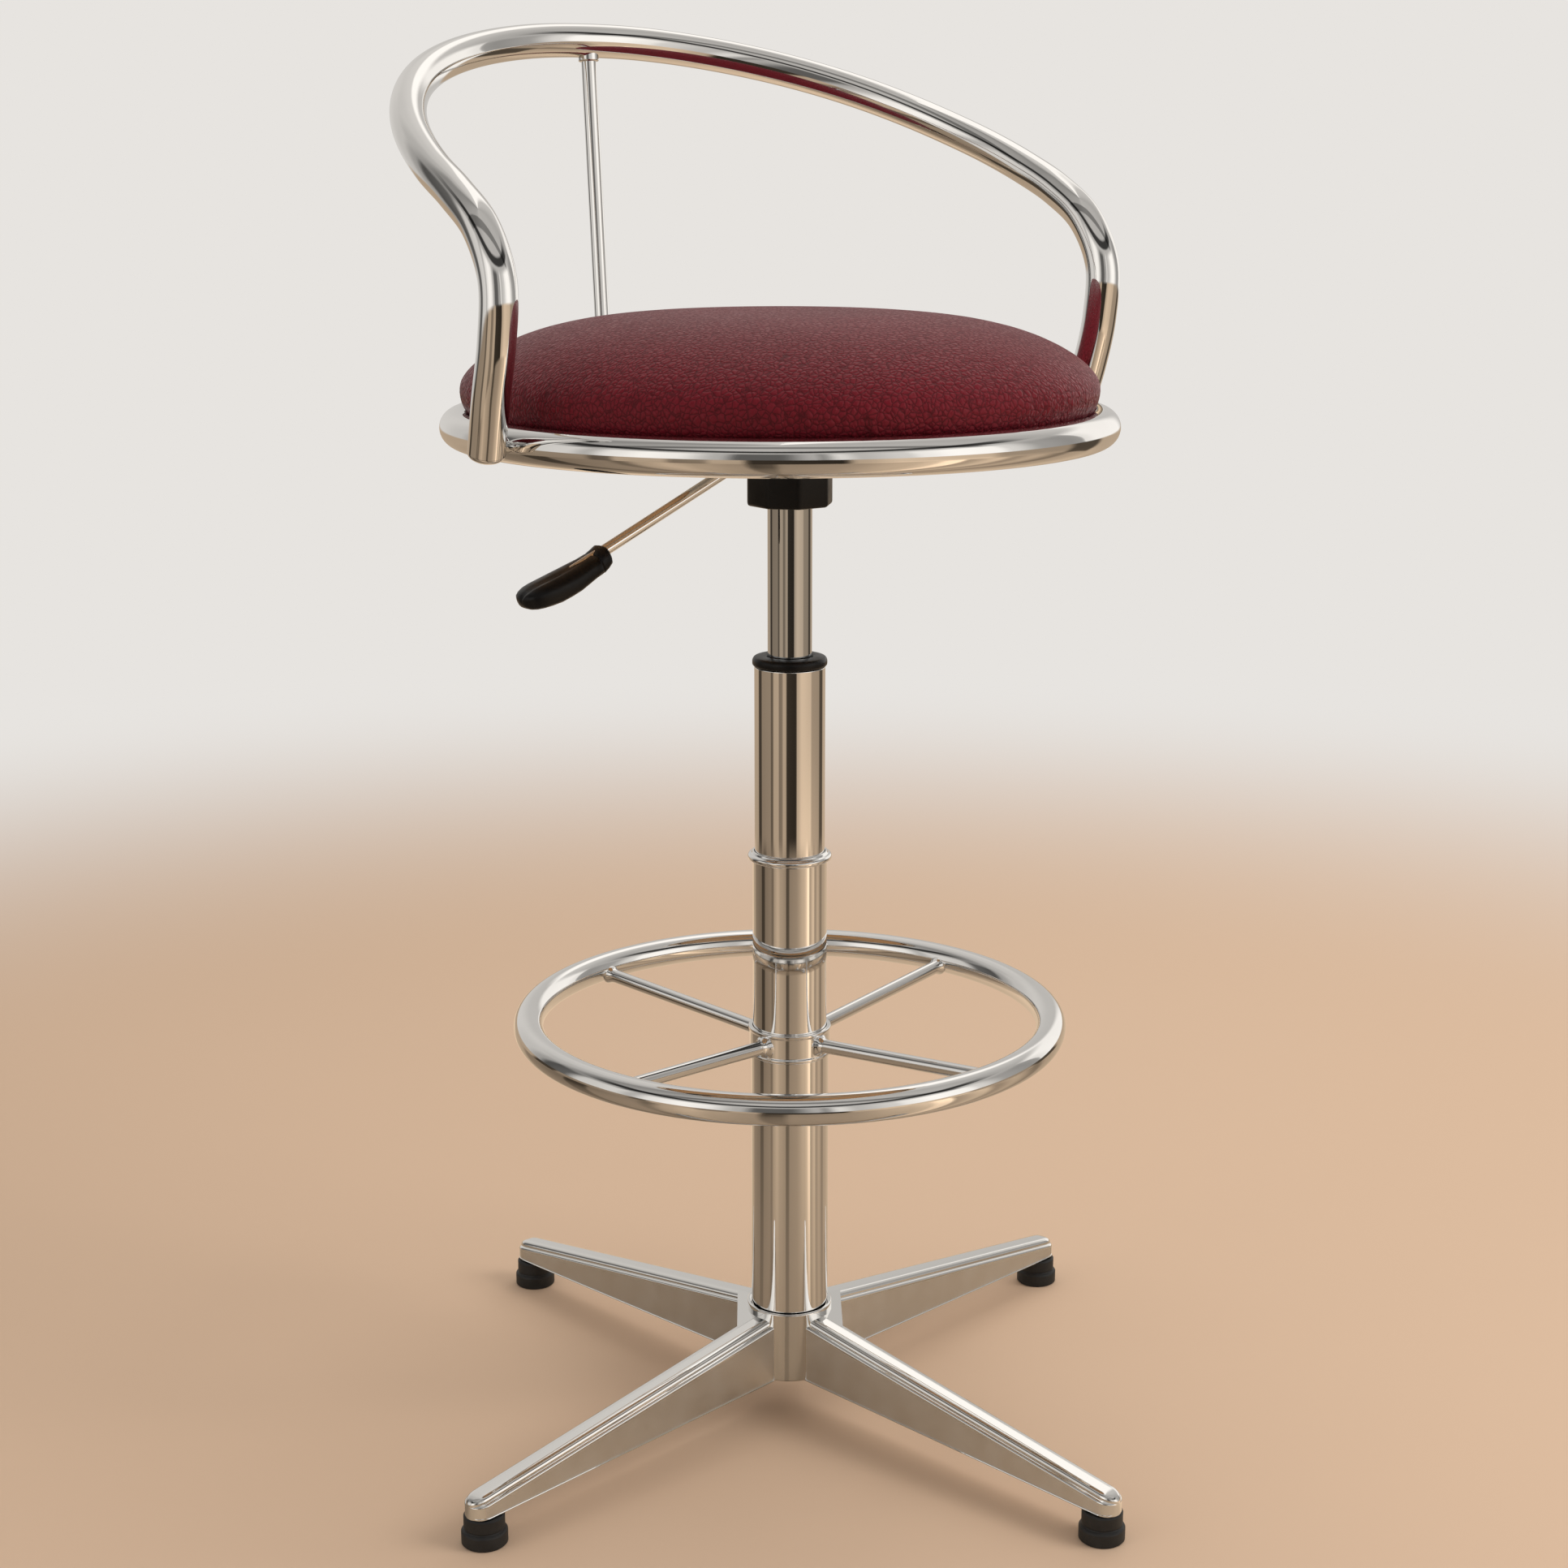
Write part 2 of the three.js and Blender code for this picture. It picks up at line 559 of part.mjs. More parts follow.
// Thrust bearing on the foot of the stand tube: two races and a cage of balls.
const bearingBore = ROD_TAIL_RADIUS + FIT;
const lowerRaceLow = standFloorTop + FIT;
const ballMiddle = lowerRaceLow + RACE_THICKNESS + FIT + BALL_RADIUS;
const upperRaceLow = ballMiddle + BALL_RADIUS + FIT;
const upperRaceHigh = upperRaceLow + RACE_THICKNESS;
const ballCircle = (bearingBore + RACE_RADIUS) / 2;
const lowerRace = pipe(RACE_RADIUS, bearingBore, lowerRaceLow, lowerRaceLow + RACE_THICKNESS, SMALL_STEPS);
const upperRace = pipe(RACE_RADIUS, bearingBore, upperRaceLow, upperRaceHigh, SMALL_STEPS);
add('bearing_race_lower', lowerRace, steel);
add('bearing_race_upper', upperRace, steel);
const cageLow = ballMiddle - CAGE_THICKNESS / 2;
const cage = pipe(RACE_RADIUS, bearingBore, cageLow, cageLow + CAGE_THICKNESS, SMALL_STEPS);
const balls = Array.from({ length: BALL_COUNT }, (_, k) => {
  const ball = new THREE.SphereGeometry(BALL_RADIUS, BALL_STEPS, BALL_STEPS);
  return ball.translate(...radialPoint(ballCircle, (2 * Math.PI * k) / BALL_COUNT, ballMiddle));
});
add('bearing_ball_cage', join(cage, ...balls), steel);

// Piston rod: its tail runs through the bearing and the foot of the stand tube to a clip.
const rodShoulder = upperRaceHigh + FIT;
const tailLow = rodShoulder - ROD_TAIL_LENGTH;
const clipHigh = standTubeLow - FIT;
const clipLow = clipHigh - CLIP_THICKNESS;
const grooveRadius = ROD_TAIL_RADIUS - CLIP_GROOVE_DEPTH;
const bumperHigh = rodShoulder + BUMPER_HEIGHT;
const cylinderLow = bumperHigh + FIT + LIFT_DOWN;
const cylinderHigh = SEAT_RING_HEIGHT - CYLINDER_DROP;
const pistonLow = cylinderLow + LIFT_UP + PISTON_MARGIN;
const pistonRod = turned(
  [
    [0, tailLow],
    [ROD_TAIL_RADIUS, tailLow],
    [ROD_TAIL_RADIUS, clipLow - FIT],
    [grooveRadius, clipLow - FIT],
    [grooveRadius, clipHigh + FIT / 2],
    [ROD_TAIL_RADIUS, clipHigh + FIT / 2],
    [ROD_TAIL_RADIUS, rodShoulder],
    [ROD_RADIUS, rodShoulder],
    [ROD_RADIUS, pistonLow],
    [ROD_TAIL_RADIUS, pistonLow],
    [ROD_TAIL_RADIUS, pistonLow + PISTON_HEIGHT],
    [0, pistonLow + PISTON_HEIGHT],
  ],
  SMALL_STEPS,
);
add('piston_rod', pistonRod, steel);
const cylinderInner = CYLINDER_RADIUS - CYLINDER_WALL;
const pistonHigh = pistonLow + PISTON_HEIGHT;
const piston = pipe(cylinderInner - FIT, ROD_TAIL_RADIUS + FIT, pistonLow + FIT, pistonHigh, SMALL_STEPS);
add('piston', piston, steel);
const clipShape = new THREE.Shape();
clipShape.absarc(0, 0, CLIP_RADIUS, CLIP_OPENING / 2, 2 * Math.PI - CLIP_OPENING / 2, false);
clipShape.absarc(0, 0, grooveRadius + FIT, 2 * Math.PI - CLIP_OPENING / 2, CLIP_OPENING / 2, true);
add('rod_clip', extruded(clipShape, clipLow, clipHigh), steel);
add('bump_stop', pipe(BUMPER_RADIUS, ROD_RADIUS + FIT, rodShoulder, bumperHigh, SMALL_STEPS), rubber);

// Gas cylinder with its gland and valve head, and the release pin in the head.
const pinTop = cylinderHigh + RELEASE_PIN_PROUD;
const pinLow = pinTop - RELEASE_PIN_LENGTH;
const pinHoleLow = pinLow - RELEASE_PIN_STROKE - FIT;
const gasCylinder = turned([
  [ROD_RADIUS + FIT, cylinderLow],
  [CYLINDER_RADIUS, cylinderLow],
  [CYLINDER_RADIUS, cylinderHigh],
  [RELEASE_PIN_RADIUS + FIT, cylinderHigh],
  [RELEASE_PIN_RADIUS + FIT, pinHoleLow],
  [0, pinHoleLow],
  [0, cylinderHigh - CYLINDER_HEAD_HEIGHT],
  [cylinderInner, cylinderHigh - CYLINDER_HEAD_HEIGHT],
  [cylinderInner, cylinderLow + CYLINDER_GLAND_HEIGHT],
  [ROD_RADIUS + FIT, cylinderLow + CYLINDER_GLAND_HEIGHT],
  [ROD_RADIUS + FIT, cylinderLow],
]);
add('gas_cylinder', gasCylinder, chrome);
add('release_pin', disc(RELEASE_PIN_RADIUS, pinLow, pinTop, SMALL_STEPS), steel);

// Seat frame: the ring, two cross bars inside it, and the mechanism plate bolted under the bars.
const seatRingTube = SEAT_RING_TUBE / 2;
const seatRingInner = SEAT_RING_RADIUS - seatRingTube;
const boardLow = barHigh + FIT;
const boardHigh = boardLow + BOARD_THICKNESS;
const seatRing = ringTube(SEAT_RING_RADIUS, seatRingTube, SEAT_RING_HEIGHT, SEAT_SET_BACK);
add('seat_ring', seatRing, chrome);
const boltPlaces = [-1, 1].flatMap((x) => {
  return [-1, 1].map((y) => [(x * SEAT_BOLT_SPACING) / 2, (y * BAR_SPACING) / 2]);
});

function boltHoles(low, high) {
  const hole = () => disc(SEAT_BOLT_RADIUS + FIT, low - OVERRUN, high + OVERRUN, FASTENER_STEPS);
  return boltPlaces.map(([x, y]) => hole().translate(x, y, 0));
}

const ringInside = disc(seatRingInner - FIT, barLow - OVERRUN, barHigh + OVERRUN, RING_STEPS);
ringInside.translate(0, SEAT_SET_BACK, 0);
[-1, 1].forEach((side, k) => {
  const middle = (side * BAR_SPACING) / 2;
  const bar = block(
    [-SEAT_RING_RADIUS, middle - BAR_WIDTH / 2, barLow],
    [SEAT_RING_RADIUS, middle + BAR_WIDTH / 2, barHigh],
  );
  const fitted = geometryOf(solidOf(bar).intersect(solidOf(ringInside)));
  add(`cross_bar_${k + 1}`, cut(fitted, ...boltHoles(barLow, barHigh)), steel);
});
const [plateX, plateY] = [PLATE_LENGTH / 2, PLATE_WIDTH / 2];
const plateShape = new THREE.Shape([
  [-plateX + PLATE_CORNER, -plateY],
  [plateX - PLATE_CORNER, -plateY],
  [plateX, -plateY + PLATE_CORNER],
  [plateX, plateY - PLATE_CORNER],
  [plateX - PLATE_CORNER, plateY],
  [-plateX + PLATE_CORNER, plateY],
  [-plateX, plateY - PLATE_CORNER],
  [-plateX, -plateY + PLATE_CORNER],
].map(([x, y]) => new THREE.Vector2(x, y)));
const plate = extruded(plateShape, plateLow, plateHigh);
add('mechanism_plate', cut(plate, ...boltHoles(plateLow, plateHigh)), steel);
const seatBoltSeat = plateLow - FIT;
boltPlaces.forEach(([x, y], k) => {
  const bolt = turned(
    [
      [0, seatBoltSeat - SEAT_BOLT_HEAD_HEIGHT],
      [SEAT_BOLT_HEAD_RADIUS, seatBoltSeat - SEAT_BOLT_HEAD_HEIGHT],
      [SEAT_BOLT_HEAD_RADIUS, seatBoltSeat],
      [SEAT_BOLT_RADIUS, seatBoltSeat],
      [SEAT_BOLT_RADIUS, boardLow + SEAT_BOLT_GRIP],
      [0, boardLow + SEAT_BOLT_GRIP],
    ],
    FASTENER_STEPS,
  );
  add(`seat_bolt_${k + 1}`, bolt.translate(x, y, 0), steel);
});

// Socket that takes the cylinder, with a slot for the lever and holes for its pivot pin.
const leverHeight = pinTop + FIT + LEVER_ROD_RADIUS;
const socketHigh = plateLow - FIT;
const socketLow = socketHigh - SOCKET_HEIGHT;
const slotHalf = LEVER_ROD_RADIUS + LEVER_SLOT_CLEARANCE / 2;
const slotLow = leverHeight - LEVER_ROD_RADIUS - LEVER_SLOT_CLEARANCE;
const pivotAt = (side) => new THREE.Vector3(-PIVOT_REACH, side, leverHeight);
const pivotHole = () => {
  return rodBetween(pivotAt(-SOCKET_RADIUS), pivotAt(SOCKET_RADIUS), PIVOT_PIN_RADIUS + FIT, FASTENER_STEPS);
};
const leverSlot = block([-SEAT_RING_RADIUS, -slotHalf, slotLow], [0, slotHalf, plateLow + OVERRUN]);
const socket = cut(pipe(SOCKET_RADIUS, cylinderBore, socketLow, socketHigh), leverSlot, pivotHole());
add('column_socket', socket, steel);
const pivotEnds = [-PIVOT_PIN_LENGTH / 2, PIVOT_PIN_LENGTH / 2].map(pivotAt);
add('lever_pivot_pin', rodBetween(...pivotEnds, PIVOT_PIN_RADIUS, FASTENER_STEPS), steel);

// Cover round the socket: an eight-sided cup, open upwards, with a hole for the cylinder.
const coverFlat = SOCKET_RADIUS + FIT + COVER_WALL;

function coverRing(flat, height) {
  const corner = flat / Math.cos(Math.PI / COVER_SIDES);
  return Array.from({ length: COVER_SIDES }, (_, k) => {
    return radialPoint(corner, ((2 * k + 1) * Math.PI) / COVER_SIDES, height);
  });
}

const coverOuter = loft([
  coverRing(coverFlat - COVER_CHAMFER, coverLow),
  coverRing(coverFlat, coverLow + COVER_CHAMFER),
  coverRing(coverFlat, coverHigh),
]);
const coverInner = loft([
  coverRing(coverFlat - COVER_WALL, coverLow + COVER_FLOOR),
  coverRing(coverFlat - COVER_WALL, coverHigh + OVERRUN),
]);
const cylinderHole = disc(cylinderBore + FIT, coverLow - OVERRUN, coverLow + COVER_FLOOR + OVERRUN);
add('socket_cover', cut(coverOuter, coverInner, cylinderHole, leverSlot), blackPlastic);

// Lever: a rod bent down outside the cover, with its toe over the release pin, and a flat handle.
const bendTangent = LEVER_BEND;
const slopeDirection = new THREE.Vector3(-Math.cos(LEVER_SLOPE), 0, -Math.sin(LEVER_SLOPE));
const toe = new THREE.Vector3(LEVER_TOE, 0, leverHeight);
const corner = new THREE.Vector3(-LEVER_STRAIGHT - bendTangent, 0, leverHeight);
const bendStart = new THREE.Vector3(-LEVER_STRAIGHT, 0, leverHeight);
const bendEnd = corner.clone().addScaledVector(slopeDirection, bendTangent);
const rodEnd = corner.clone().addScaledVector(slopeDirection, LEVER_SLOPE_LENGTH);
const leverPath = new THREE.CurvePath();
leverPath.add(new THREE.LineCurve3(toe, bendStart));
leverPath.add(new THREE.QuadraticBezierCurve3(bendStart, corner, bendEnd));
leverPath.add(new THREE.LineCurve3(bendEnd, rodEnd));
const leverRod = sweptTube(leverPath, LEVER_ROD_RADIUS, LEVER_STEPS, FASTENER_STEPS);
add('lever_rod', cut(leverRod, pivotHole()), chrome);

// Handle sections: shares of its length, of its width, of its thickness and of its drop.
const handleShares = [
  [0, 0.5, 0.66, 0.3],
  [0.03, 0.66, 0.82, 0.5],
  [0.14, 0.74, 0.86, 1],
  [0.24, 0.8, 0.84, 1],
  [0.45, 0.96, 0.96, 1],
  [0.68, 1, 1, 0.7],
  [0.86, 0.92, 0.9, 0.2],
  [0.96, 0.66, 0.66, 0],
  [1, 0.34, 0.34, 0],
];
const handleStart = rodEnd.clone().addScaledVector(slopeDirection, -HANDLE_GRIP_DEPTH + FIT);
const handleUp = new THREE.Vector3(-Math.sin(LEVER_SLOPE), 0, Math.cos(LEVER_SLOPE));
const squared = (value) => Math.sign(value) * Math.abs(value) ** (2 / HANDLE_SQUARENESS);
const handleRings = handleShares.map(([along, width, thickness, drop]) => {
  const centre = handleStart.clone().addScaledVector(slopeDirection, along * HANDLE_LENGTH);
  centre.addScaledVector(handleUp, -drop * HANDLE_DROP);
  return Array.from({ length: SMALL_STEPS }, (_, k) => {
    const angle = (2 * Math.PI * k) / SMALL_STEPS;
    const rise = (thickness * HANDLE_THICKNESS * squared(Math.sin(angle))) / 2;
    const point = centre.clone().addScaledVector(handleUp, rise);
    point.y = (width * HANDLE_WIDTH * squared(Math.cos(angle))) / 2;
    return point;
  });
});
const handleSocketStart = handleStart.clone().addScaledVector(slopeDirection, -OVERRUN);
const handleSocketEnd = rodEnd.clone().addScaledVector(slopeDirection, FIT);
const handleSocket = rodBetween(handleSocketStart, handleSocketEnd, LEVER_ROD_RADIUS + FIT, TUBE_SIDES);
add('lever_handle', cut(loft(handleRings), handleSocket), blackPlastic);

// Seat board, foam and cover: a crowned cushion whose sides are drawn in to sit inside the ring.
const boardRadius = seatRingInner - BOARD_MARGIN;
const waistHeight = SEAT_RING_HEIGHT + CUSHION_WAIST;
const board = disc(boardRadius, boardLow, boardHigh, RING_STEPS).translate(0, SEAT_SET_BACK, 0);
add('seat_board', cut(board, ...boltHoles(boardLow, boardLow + SEAT_BOLT_GRIP)), plywood);

function crownProfile(inset) {
  const radius = CUSHION_RADIUS - inset;
  const rise = CUSHION_CROWN - inset;
  const angles = [0, 22, 38, 50, 60, 69, 77, 84, 90].map(THREE.MathUtils.degToRad);
  return angles.map((angle) => {
    const share = Math.sin(angle);
    const drop = (1 - share ** CROWN_FLATNESS) ** (1 / CROWN_SHOULDER);
    return [radius * share, waistHeight + rise * drop];
  });
}

// Draw-in of the side below the widest level: share of the draw-in, and of the drop to the board.
const drawInShares = [
  [0.12, 0.3],
  [0.55, 0.52],
  [0.95, 0.78],
  [1, 1],
];
const cushionDrop = waistHeight - boardLow;

function sideProfile(inset) {
  return drawInShares.map(([inward, down]) => {
    return [CUSHION_RADIUS - inset - inward * CUSHION_DRAW_IN, waistHeight - down * cushionDrop];
  });
}

const outerProfile = [...crownProfile(0), ...sideProfile(0)];
const innerProfile = [...crownProfile(CUSHION_COVER), ...sideProfile(CUSHION_COVER)].reverse();
const foamInset = CUSHION_COVER + FIT;
const foamLow = boardHigh + FIT;
const foamSide = sideProfile(foamInset).filter(([, height]) => height > foamLow);
const foamFoot = foamSide[foamSide.length - 1][0];
const foamProfile = [...crownProfile(foamInset), ...foamSide, [foamFoot, foamLow], [0, foamLow]];
const seatCover = turned([...outerProfile, ...innerProfile], CUSHION_STEPS);
add('seat_cover', seatCover.translate(0, SEAT_SET_BACK, 0), leatherette);
add('seat_foam', turned(foamProfile, CUSHION_STEPS).translate(0, SEAT_SET_BACK, 0), foam);

// Back rail: one bent tube, alike on both sides, round the same centre as the seat ring.
const railTube = RAIL_TUBE / 2;
const railRadius = SEAT_RING_RADIUS + seatRingTube + RAIL_STANDOFF + railTube;
const railFootAngle = Math.asin(RAIL_FOOT_FORWARD / railRadius);
const railTurn = Math.PI / 2 + railFootAngle;
const railLow = SEAT_RING_HEIGHT - RAIL_FOOT_DROP;

function railPoint(turnShare, radiusShare, riseShare) {
  const angle = Math.PI + railFootAngle - turnShare * railTurn;
  const point = radialPoint(radiusShare * railRadius, angle, railLow + riseShare * RAIL_RISE);
  return point.setY(point.y + SEAT_SET_BACK);
}

// From a foot to the middle of the back: shares of the turn, of the radius and of the rise.
const railShares = [
  [0, 1, 0],
  [-0.027, 1.016, 0.131],
  [-0.049, 1.023, 0.265],
  [-0.053, 1.022, 0.403],
  [-0.009, 1.009, 0.519],
  [0.065, 1, 0.595],
  [0.145, 1, 0.653],
  [0.227, 1, 0.709],
  [0.309, 1, 0.761],
  [0.391, 1, 0.811],
  [0.475, 1, 0.858],
  [0.559, 1, 0.899],
  [0.645, 1, 0.934],
  [0.732, 1, 0.962],
  [0.82, 1, 0.983],
  [0.908, 1, 0.996],
];
const railHalf = railShares.map((shares) => railPoint(...shares));
const railFoot = railHalf[0];
const railMiddle = railPoint(1, 1, 1);
const railMirror = railHalf.map((point) => new THREE.Vector3(-point.x, point.y, point.z)).reverse();
const railPath = new THREE.CatmullRomCurve3([...railHalf, railMiddle, ...railMirror]);
add('back_rail', sweptTube(railPath, railTube, RAIL_STEPS), chrome);

// Domed plugs that close the feet of the rail, and spacers that stand it off the seat ring.
const seatRingNotch = ringTube(SEAT_RING_RADIUS, seatRingTube + FIT, SEAT_RING_HEIGHT, SEAT_SET_BACK);
const railNotch = sweptTube(railPath, railTube + FIT, RAIL_STEPS);
const upward = new THREE.Vector3(0, 0, 1);
const plugTurn = new THREE.Quaternion().setFromUnitVectors(upward, railPath.getTangent(0));
const plugProfile = [0, 30, 60, 90].map(THREE.MathUtils.degToRad).map((angle) => {
  return [railTube * Math.sin(angle), -FIT - RAIL_PLUG_HEIGHT * Math.cos(angle)];
});
const spacerLow = SEAT_RING_HEIGHT + SPACER_RISE;
['right', 'left'].forEach((sideName, k) => {
  const mirror = k === 0 ? 1 : -1;
  const plug = turned([...plugProfile, [0, -FIT]], SMALL_STEPS);
  plug.applyQuaternion(plugTurn).translate(...railFoot);
  add(`rail_plug_${sideName}`, outward(plug.scale(mirror, 1, 1)), chrome);
  const spacer = block(
    [-railRadius, -SPACER_WIDTH / 2, spacerLow],
    [-SEAT_RING_RADIUS, SPACER_WIDTH / 2, spacerLow + SPACER_HEIGHT],
  ).rotateZ(railFootAngle).translate(0, SEAT_SET_BACK, 0);
  const fitted = outward(spacer.scale(mirror, 1, 1));
  add(`rail_spacer_${sideName}`, cut(fitted, seatRingNotch, railNotch), chrome);
});

// Strut behind the cushion, from the top of the ring to the middle of the rail, with a collar.
const strutRadius = STRUT_DIAMETER / 2;
const strutReach = SEAT_SET_BACK + CUSHION_RADIUS + STRUT_CLEARANCE + strutRadius;
const strutFoot = new THREE.Vector3(0, strutReach, SEAT_RING_HEIGHT);
const strutDirection = railMiddle.clone().sub(strutFoot).normalize();
const strut = rodBetween(strutFoot, railMiddle, strutRadius, TUBE_SIDES);
add('back_strut', cut(strut, seatRingNotch, railNotch), chrome);
const collarTurn = new THREE.Quaternion().setFromUnitVectors(upward, strutDirection);
const collarLow = -railTube - STRUT_COLLAR_HEIGHT / 2;
const collar = turned(
  [
    [strutRadius + FIT, collarLow],
    [strutRadius + 2 * FIT, collarLow],
    [STRUT_COLLAR_RADIUS, collarLow + STRUT_COLLAR_HEIGHT / 2],
    [STRUT_COLLAR_RADIUS, -railTube / 2],
    [strutRadius + FIT, -railTube / 2],
    [strutRadius + FIT, collarLow],
  ],
  SMALL_STEPS,
);
collar.applyQuaternion(collarTurn).translate(...railMiddle);
add('strut_collar', cut(collar, railNotch), chrome);

export default stool;
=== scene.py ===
import math

import bmesh
import bpy
import numpy as np
from mathutils import Matrix, Vector


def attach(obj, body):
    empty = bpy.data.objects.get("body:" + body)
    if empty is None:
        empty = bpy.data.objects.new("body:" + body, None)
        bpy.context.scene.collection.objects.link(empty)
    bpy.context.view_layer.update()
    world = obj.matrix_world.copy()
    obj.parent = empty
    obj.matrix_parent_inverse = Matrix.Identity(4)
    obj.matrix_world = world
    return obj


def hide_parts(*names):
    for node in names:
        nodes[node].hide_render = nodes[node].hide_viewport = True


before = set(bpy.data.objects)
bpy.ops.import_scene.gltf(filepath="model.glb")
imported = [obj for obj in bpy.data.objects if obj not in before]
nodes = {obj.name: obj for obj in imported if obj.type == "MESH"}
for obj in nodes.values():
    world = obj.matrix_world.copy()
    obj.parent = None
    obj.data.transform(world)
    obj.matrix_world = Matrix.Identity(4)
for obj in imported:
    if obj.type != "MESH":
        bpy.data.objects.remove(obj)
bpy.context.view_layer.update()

scene = bpy.context.scene
mm = 0.001

# Camera: a little above the seat, in front of the stool and on the sitter's right,
# looking slightly down so that the whole stool fits the square picture.
camera_distance = 1607.9 * mm
camera_height = 811.2 * mm
camera_bearing = math.radians(35.5)
camera_pan = math.radians(0.131)
camera_tilt = math.radians(13.431)
camera_focal_share = 3183.1 / 1932
camera_sensor = 36.0

camera = bpy.data.objects.new("Camera", bpy.data.cameras.new("Camera"))
scene.collection.objects.link(camera)
camera.data.sensor_width = camera_sensor
camera.data.lens = camera_focal_share * camera_sensor
camera.data.clip_start = 0.05
camera.location = (
    -camera_distance * math.sin(camera_bearing),
    -camera_distance * math.cos(camera_bearing),
    camera_height,
)
camera.rotation_euler = (math.pi / 2 - camera_tilt, 0.0, camera_pan - camera_bearing)
scene.camera = camera


# Studio: a pale floor that fades into a pale wall, a wide soft lamp on the right of the picture, a
# weaker one on the left, one behind and one overhead. Polished metal sees a plain grey room with
# bright windows, a dark cornice and boards on its floor, which give chrome its bands.
wall_colour = (0.80, 0.775, 0.745, 1.0)
floor_colour = (0.69, 0.495, 0.35, 1.0)
boards_tint = (1.26, 0.96, 0.68, 1.0)
room_tint = (1.04, 1.0, 0.95, 1.0)
fade_start, fade_end = 0.9, 2.6
room_front = math.radians(-125.5)
lamps = {
    "Window_lamp": dict(size=(1.3, 1.5), power=30.0, bearing=-48.0, rise=34.0, distance=2.6),
    "Fill_lamp": dict(size=(1.2, 1.8), power=6.0, bearing=175.0, rise=28.0, distance=2.6),
    "Top_lamp": dict(size=(1.8, 1.8), power=16.0, bearing=40.0, rise=74.0, distance=2.4),
    "Back_lamp": dict(size=(2.2, 1.4), power=9.0, bearing=30.0, rise=26.0, distance=2.8),
}
lamp_colour = (1.0, 0.975, 0.95)
lamp_aim = Vector((0, 0, 0.45))
# Lightness of the room by bearing from its front, in degrees, for what metal reflects.
wall_tones = [
    (-180, 0.56), (-155, 0.66), (-133, 0.58), (-121, 0.38), (-114, 0.09), (-102, 0.12), (-92, 0.66), (-74, 0.72),
    (-66, 0.50), (-57, 0.90), (-44, 1.08), (-35, 1.0), (-20, 0.48), (-13, 0.12), (0, 0.12), (11, 0.45), (14, 0.30),
    (20, 0.80), (27, 0.55), (42, 0.72), (48, 0.98), (60, 1.15), (76, 1.1), (82, 0.78), (97, 0.38), (112, 0.32),
    (119, 0.36), (121, 0.90), (130, 1.04), (156, 1.0), (166, 0.55), (180, 0.56),
]
floor_tones = [
    (-180, 0.60), (-165, 0.68), (-153, 0.72), (-143, 0.48), (-133, 0.42), (-126, 0.25), (-97, 0.20), (-95, 0.06),
    (-84, 0.06), (-81, 0.22), (-60, 0.26), (-54, 0.16), (-46, 0.44), (-37, 0.55), (-27, 0.42), (-13, 0.34),
    (-9, 0.08), (-3, 0.10), (1, 0.28), (18, 0.30), (44, 0.48), (52, 0.60), (57, 0.98), (62, 1.0), (64, 0.32),
    (78, 0.54), (85, 0.26), (96, 0.40), (112, 0.18), (121, 0.36), (158, 0.52), (180, 0.60),
]
far_floor_tones = [
    (-180, 0.45), (-124, 0.45), (-118, 0.06), (-106, 0.06), (-102, 0.28), (-66, 0.30), (-62, 0.12), (-57, 0.14),
    (-53, 0.46), (-38, 0.48), (-34, 0.22), (-25, 0.24), (-21, 0.48), (-13, 0.46), (-9, 0.04), (20, 0.03),
    (25, 0.50), (40, 0.70), (70, 0.62), (78, 0.36), (108, 0.34), (115, 0.08), (130, 0.08), (136, 0.48), (180, 0.45),
]
# Distances from the column: where the far boards begin, and where a room's walls take their place.
far_floor_start, far_floor_end = 1.38, 1.55
room_wall_start, room_wall_end = 6.0, 11.0
ceiling_tones = [
    (-180, 0.70), (-150, 0.62), (-130, 0.50), (-110, 0.28), (-60, 0.40), (-20, 0.52), (30, 0.50), (80, 0.50),
    (115, 0.46), (150, 0.60), (161, 1.15), (175, 1.15), (180, 0.70),
]
# Share of the ceiling's lightness by the sine of the rise: a dark cornice, on the camera's side only.
cornice_bands = [(0.0, 1.0), (0.56, 1.0), (0.605, 0.09), (0.69, 0.09), (0.74, 1.0), (1.0, 1.0)]
# The same by the distance towards the camera per height: a dark beam runs across, straight over the front.
beam_bands = [(0.0, 1.0), (0.26, 1.0), (0.31, 0.42), (0.50, 0.42), (0.56, 1.0), (1.0, 1.0)]
wall_end, ceiling_start = 0.42, 0.56


def fed(tree, node, inputs):
    """Sets or links each of a node's inputs."""
    for key, value in inputs.items():
        if isinstance(value, bpy.types.NodeSocket):
            tree.links.new(value, node.inputs[key])
        else:
            node.inputs[key].default_value = value


def wired(tree, kind, inputs=None, **settings):
    """A new node with its settings, and with each input either set or linked."""
    node = tree.nodes.new(kind)
    for key, value in settings.items():
        setattr(node, key, value)
    fed(tree, node, inputs or {})
    return node


def worked(tree, operation, *inputs):
    """The result of an operation on numbers or sockets."""
    return wired(tree, "ShaderNodeMath", dict(enumerate(inputs)), operation=operation).outputs[0]


def varied(tree, value, low=0.0, high=1.0, start=0.3, end=0.7, easing="LINEAR"):
    """The value, spread from low to high between its start and its end."""
    return wired(tree, "ShaderNodeMapRange", {"Value": value, "From Min": start, "From Max": end, "To Min": low,
                                              "To Max": high}, interpolation_type=easing).outputs[0]


def mixed(tree, share, first, second, blend="MIX"):
    """The colour between two, each a colour or a socket, at a share."""
    mix = wired(tree, "ShaderNodeMix", {0: share, 6: first, 7: second}, data_type="RGBA", blend_type=blend)
    return mix.outputs[2]


def product(tree, first, second):
    return mixed(tree, 1.0, first, second, "MULTIPLY")


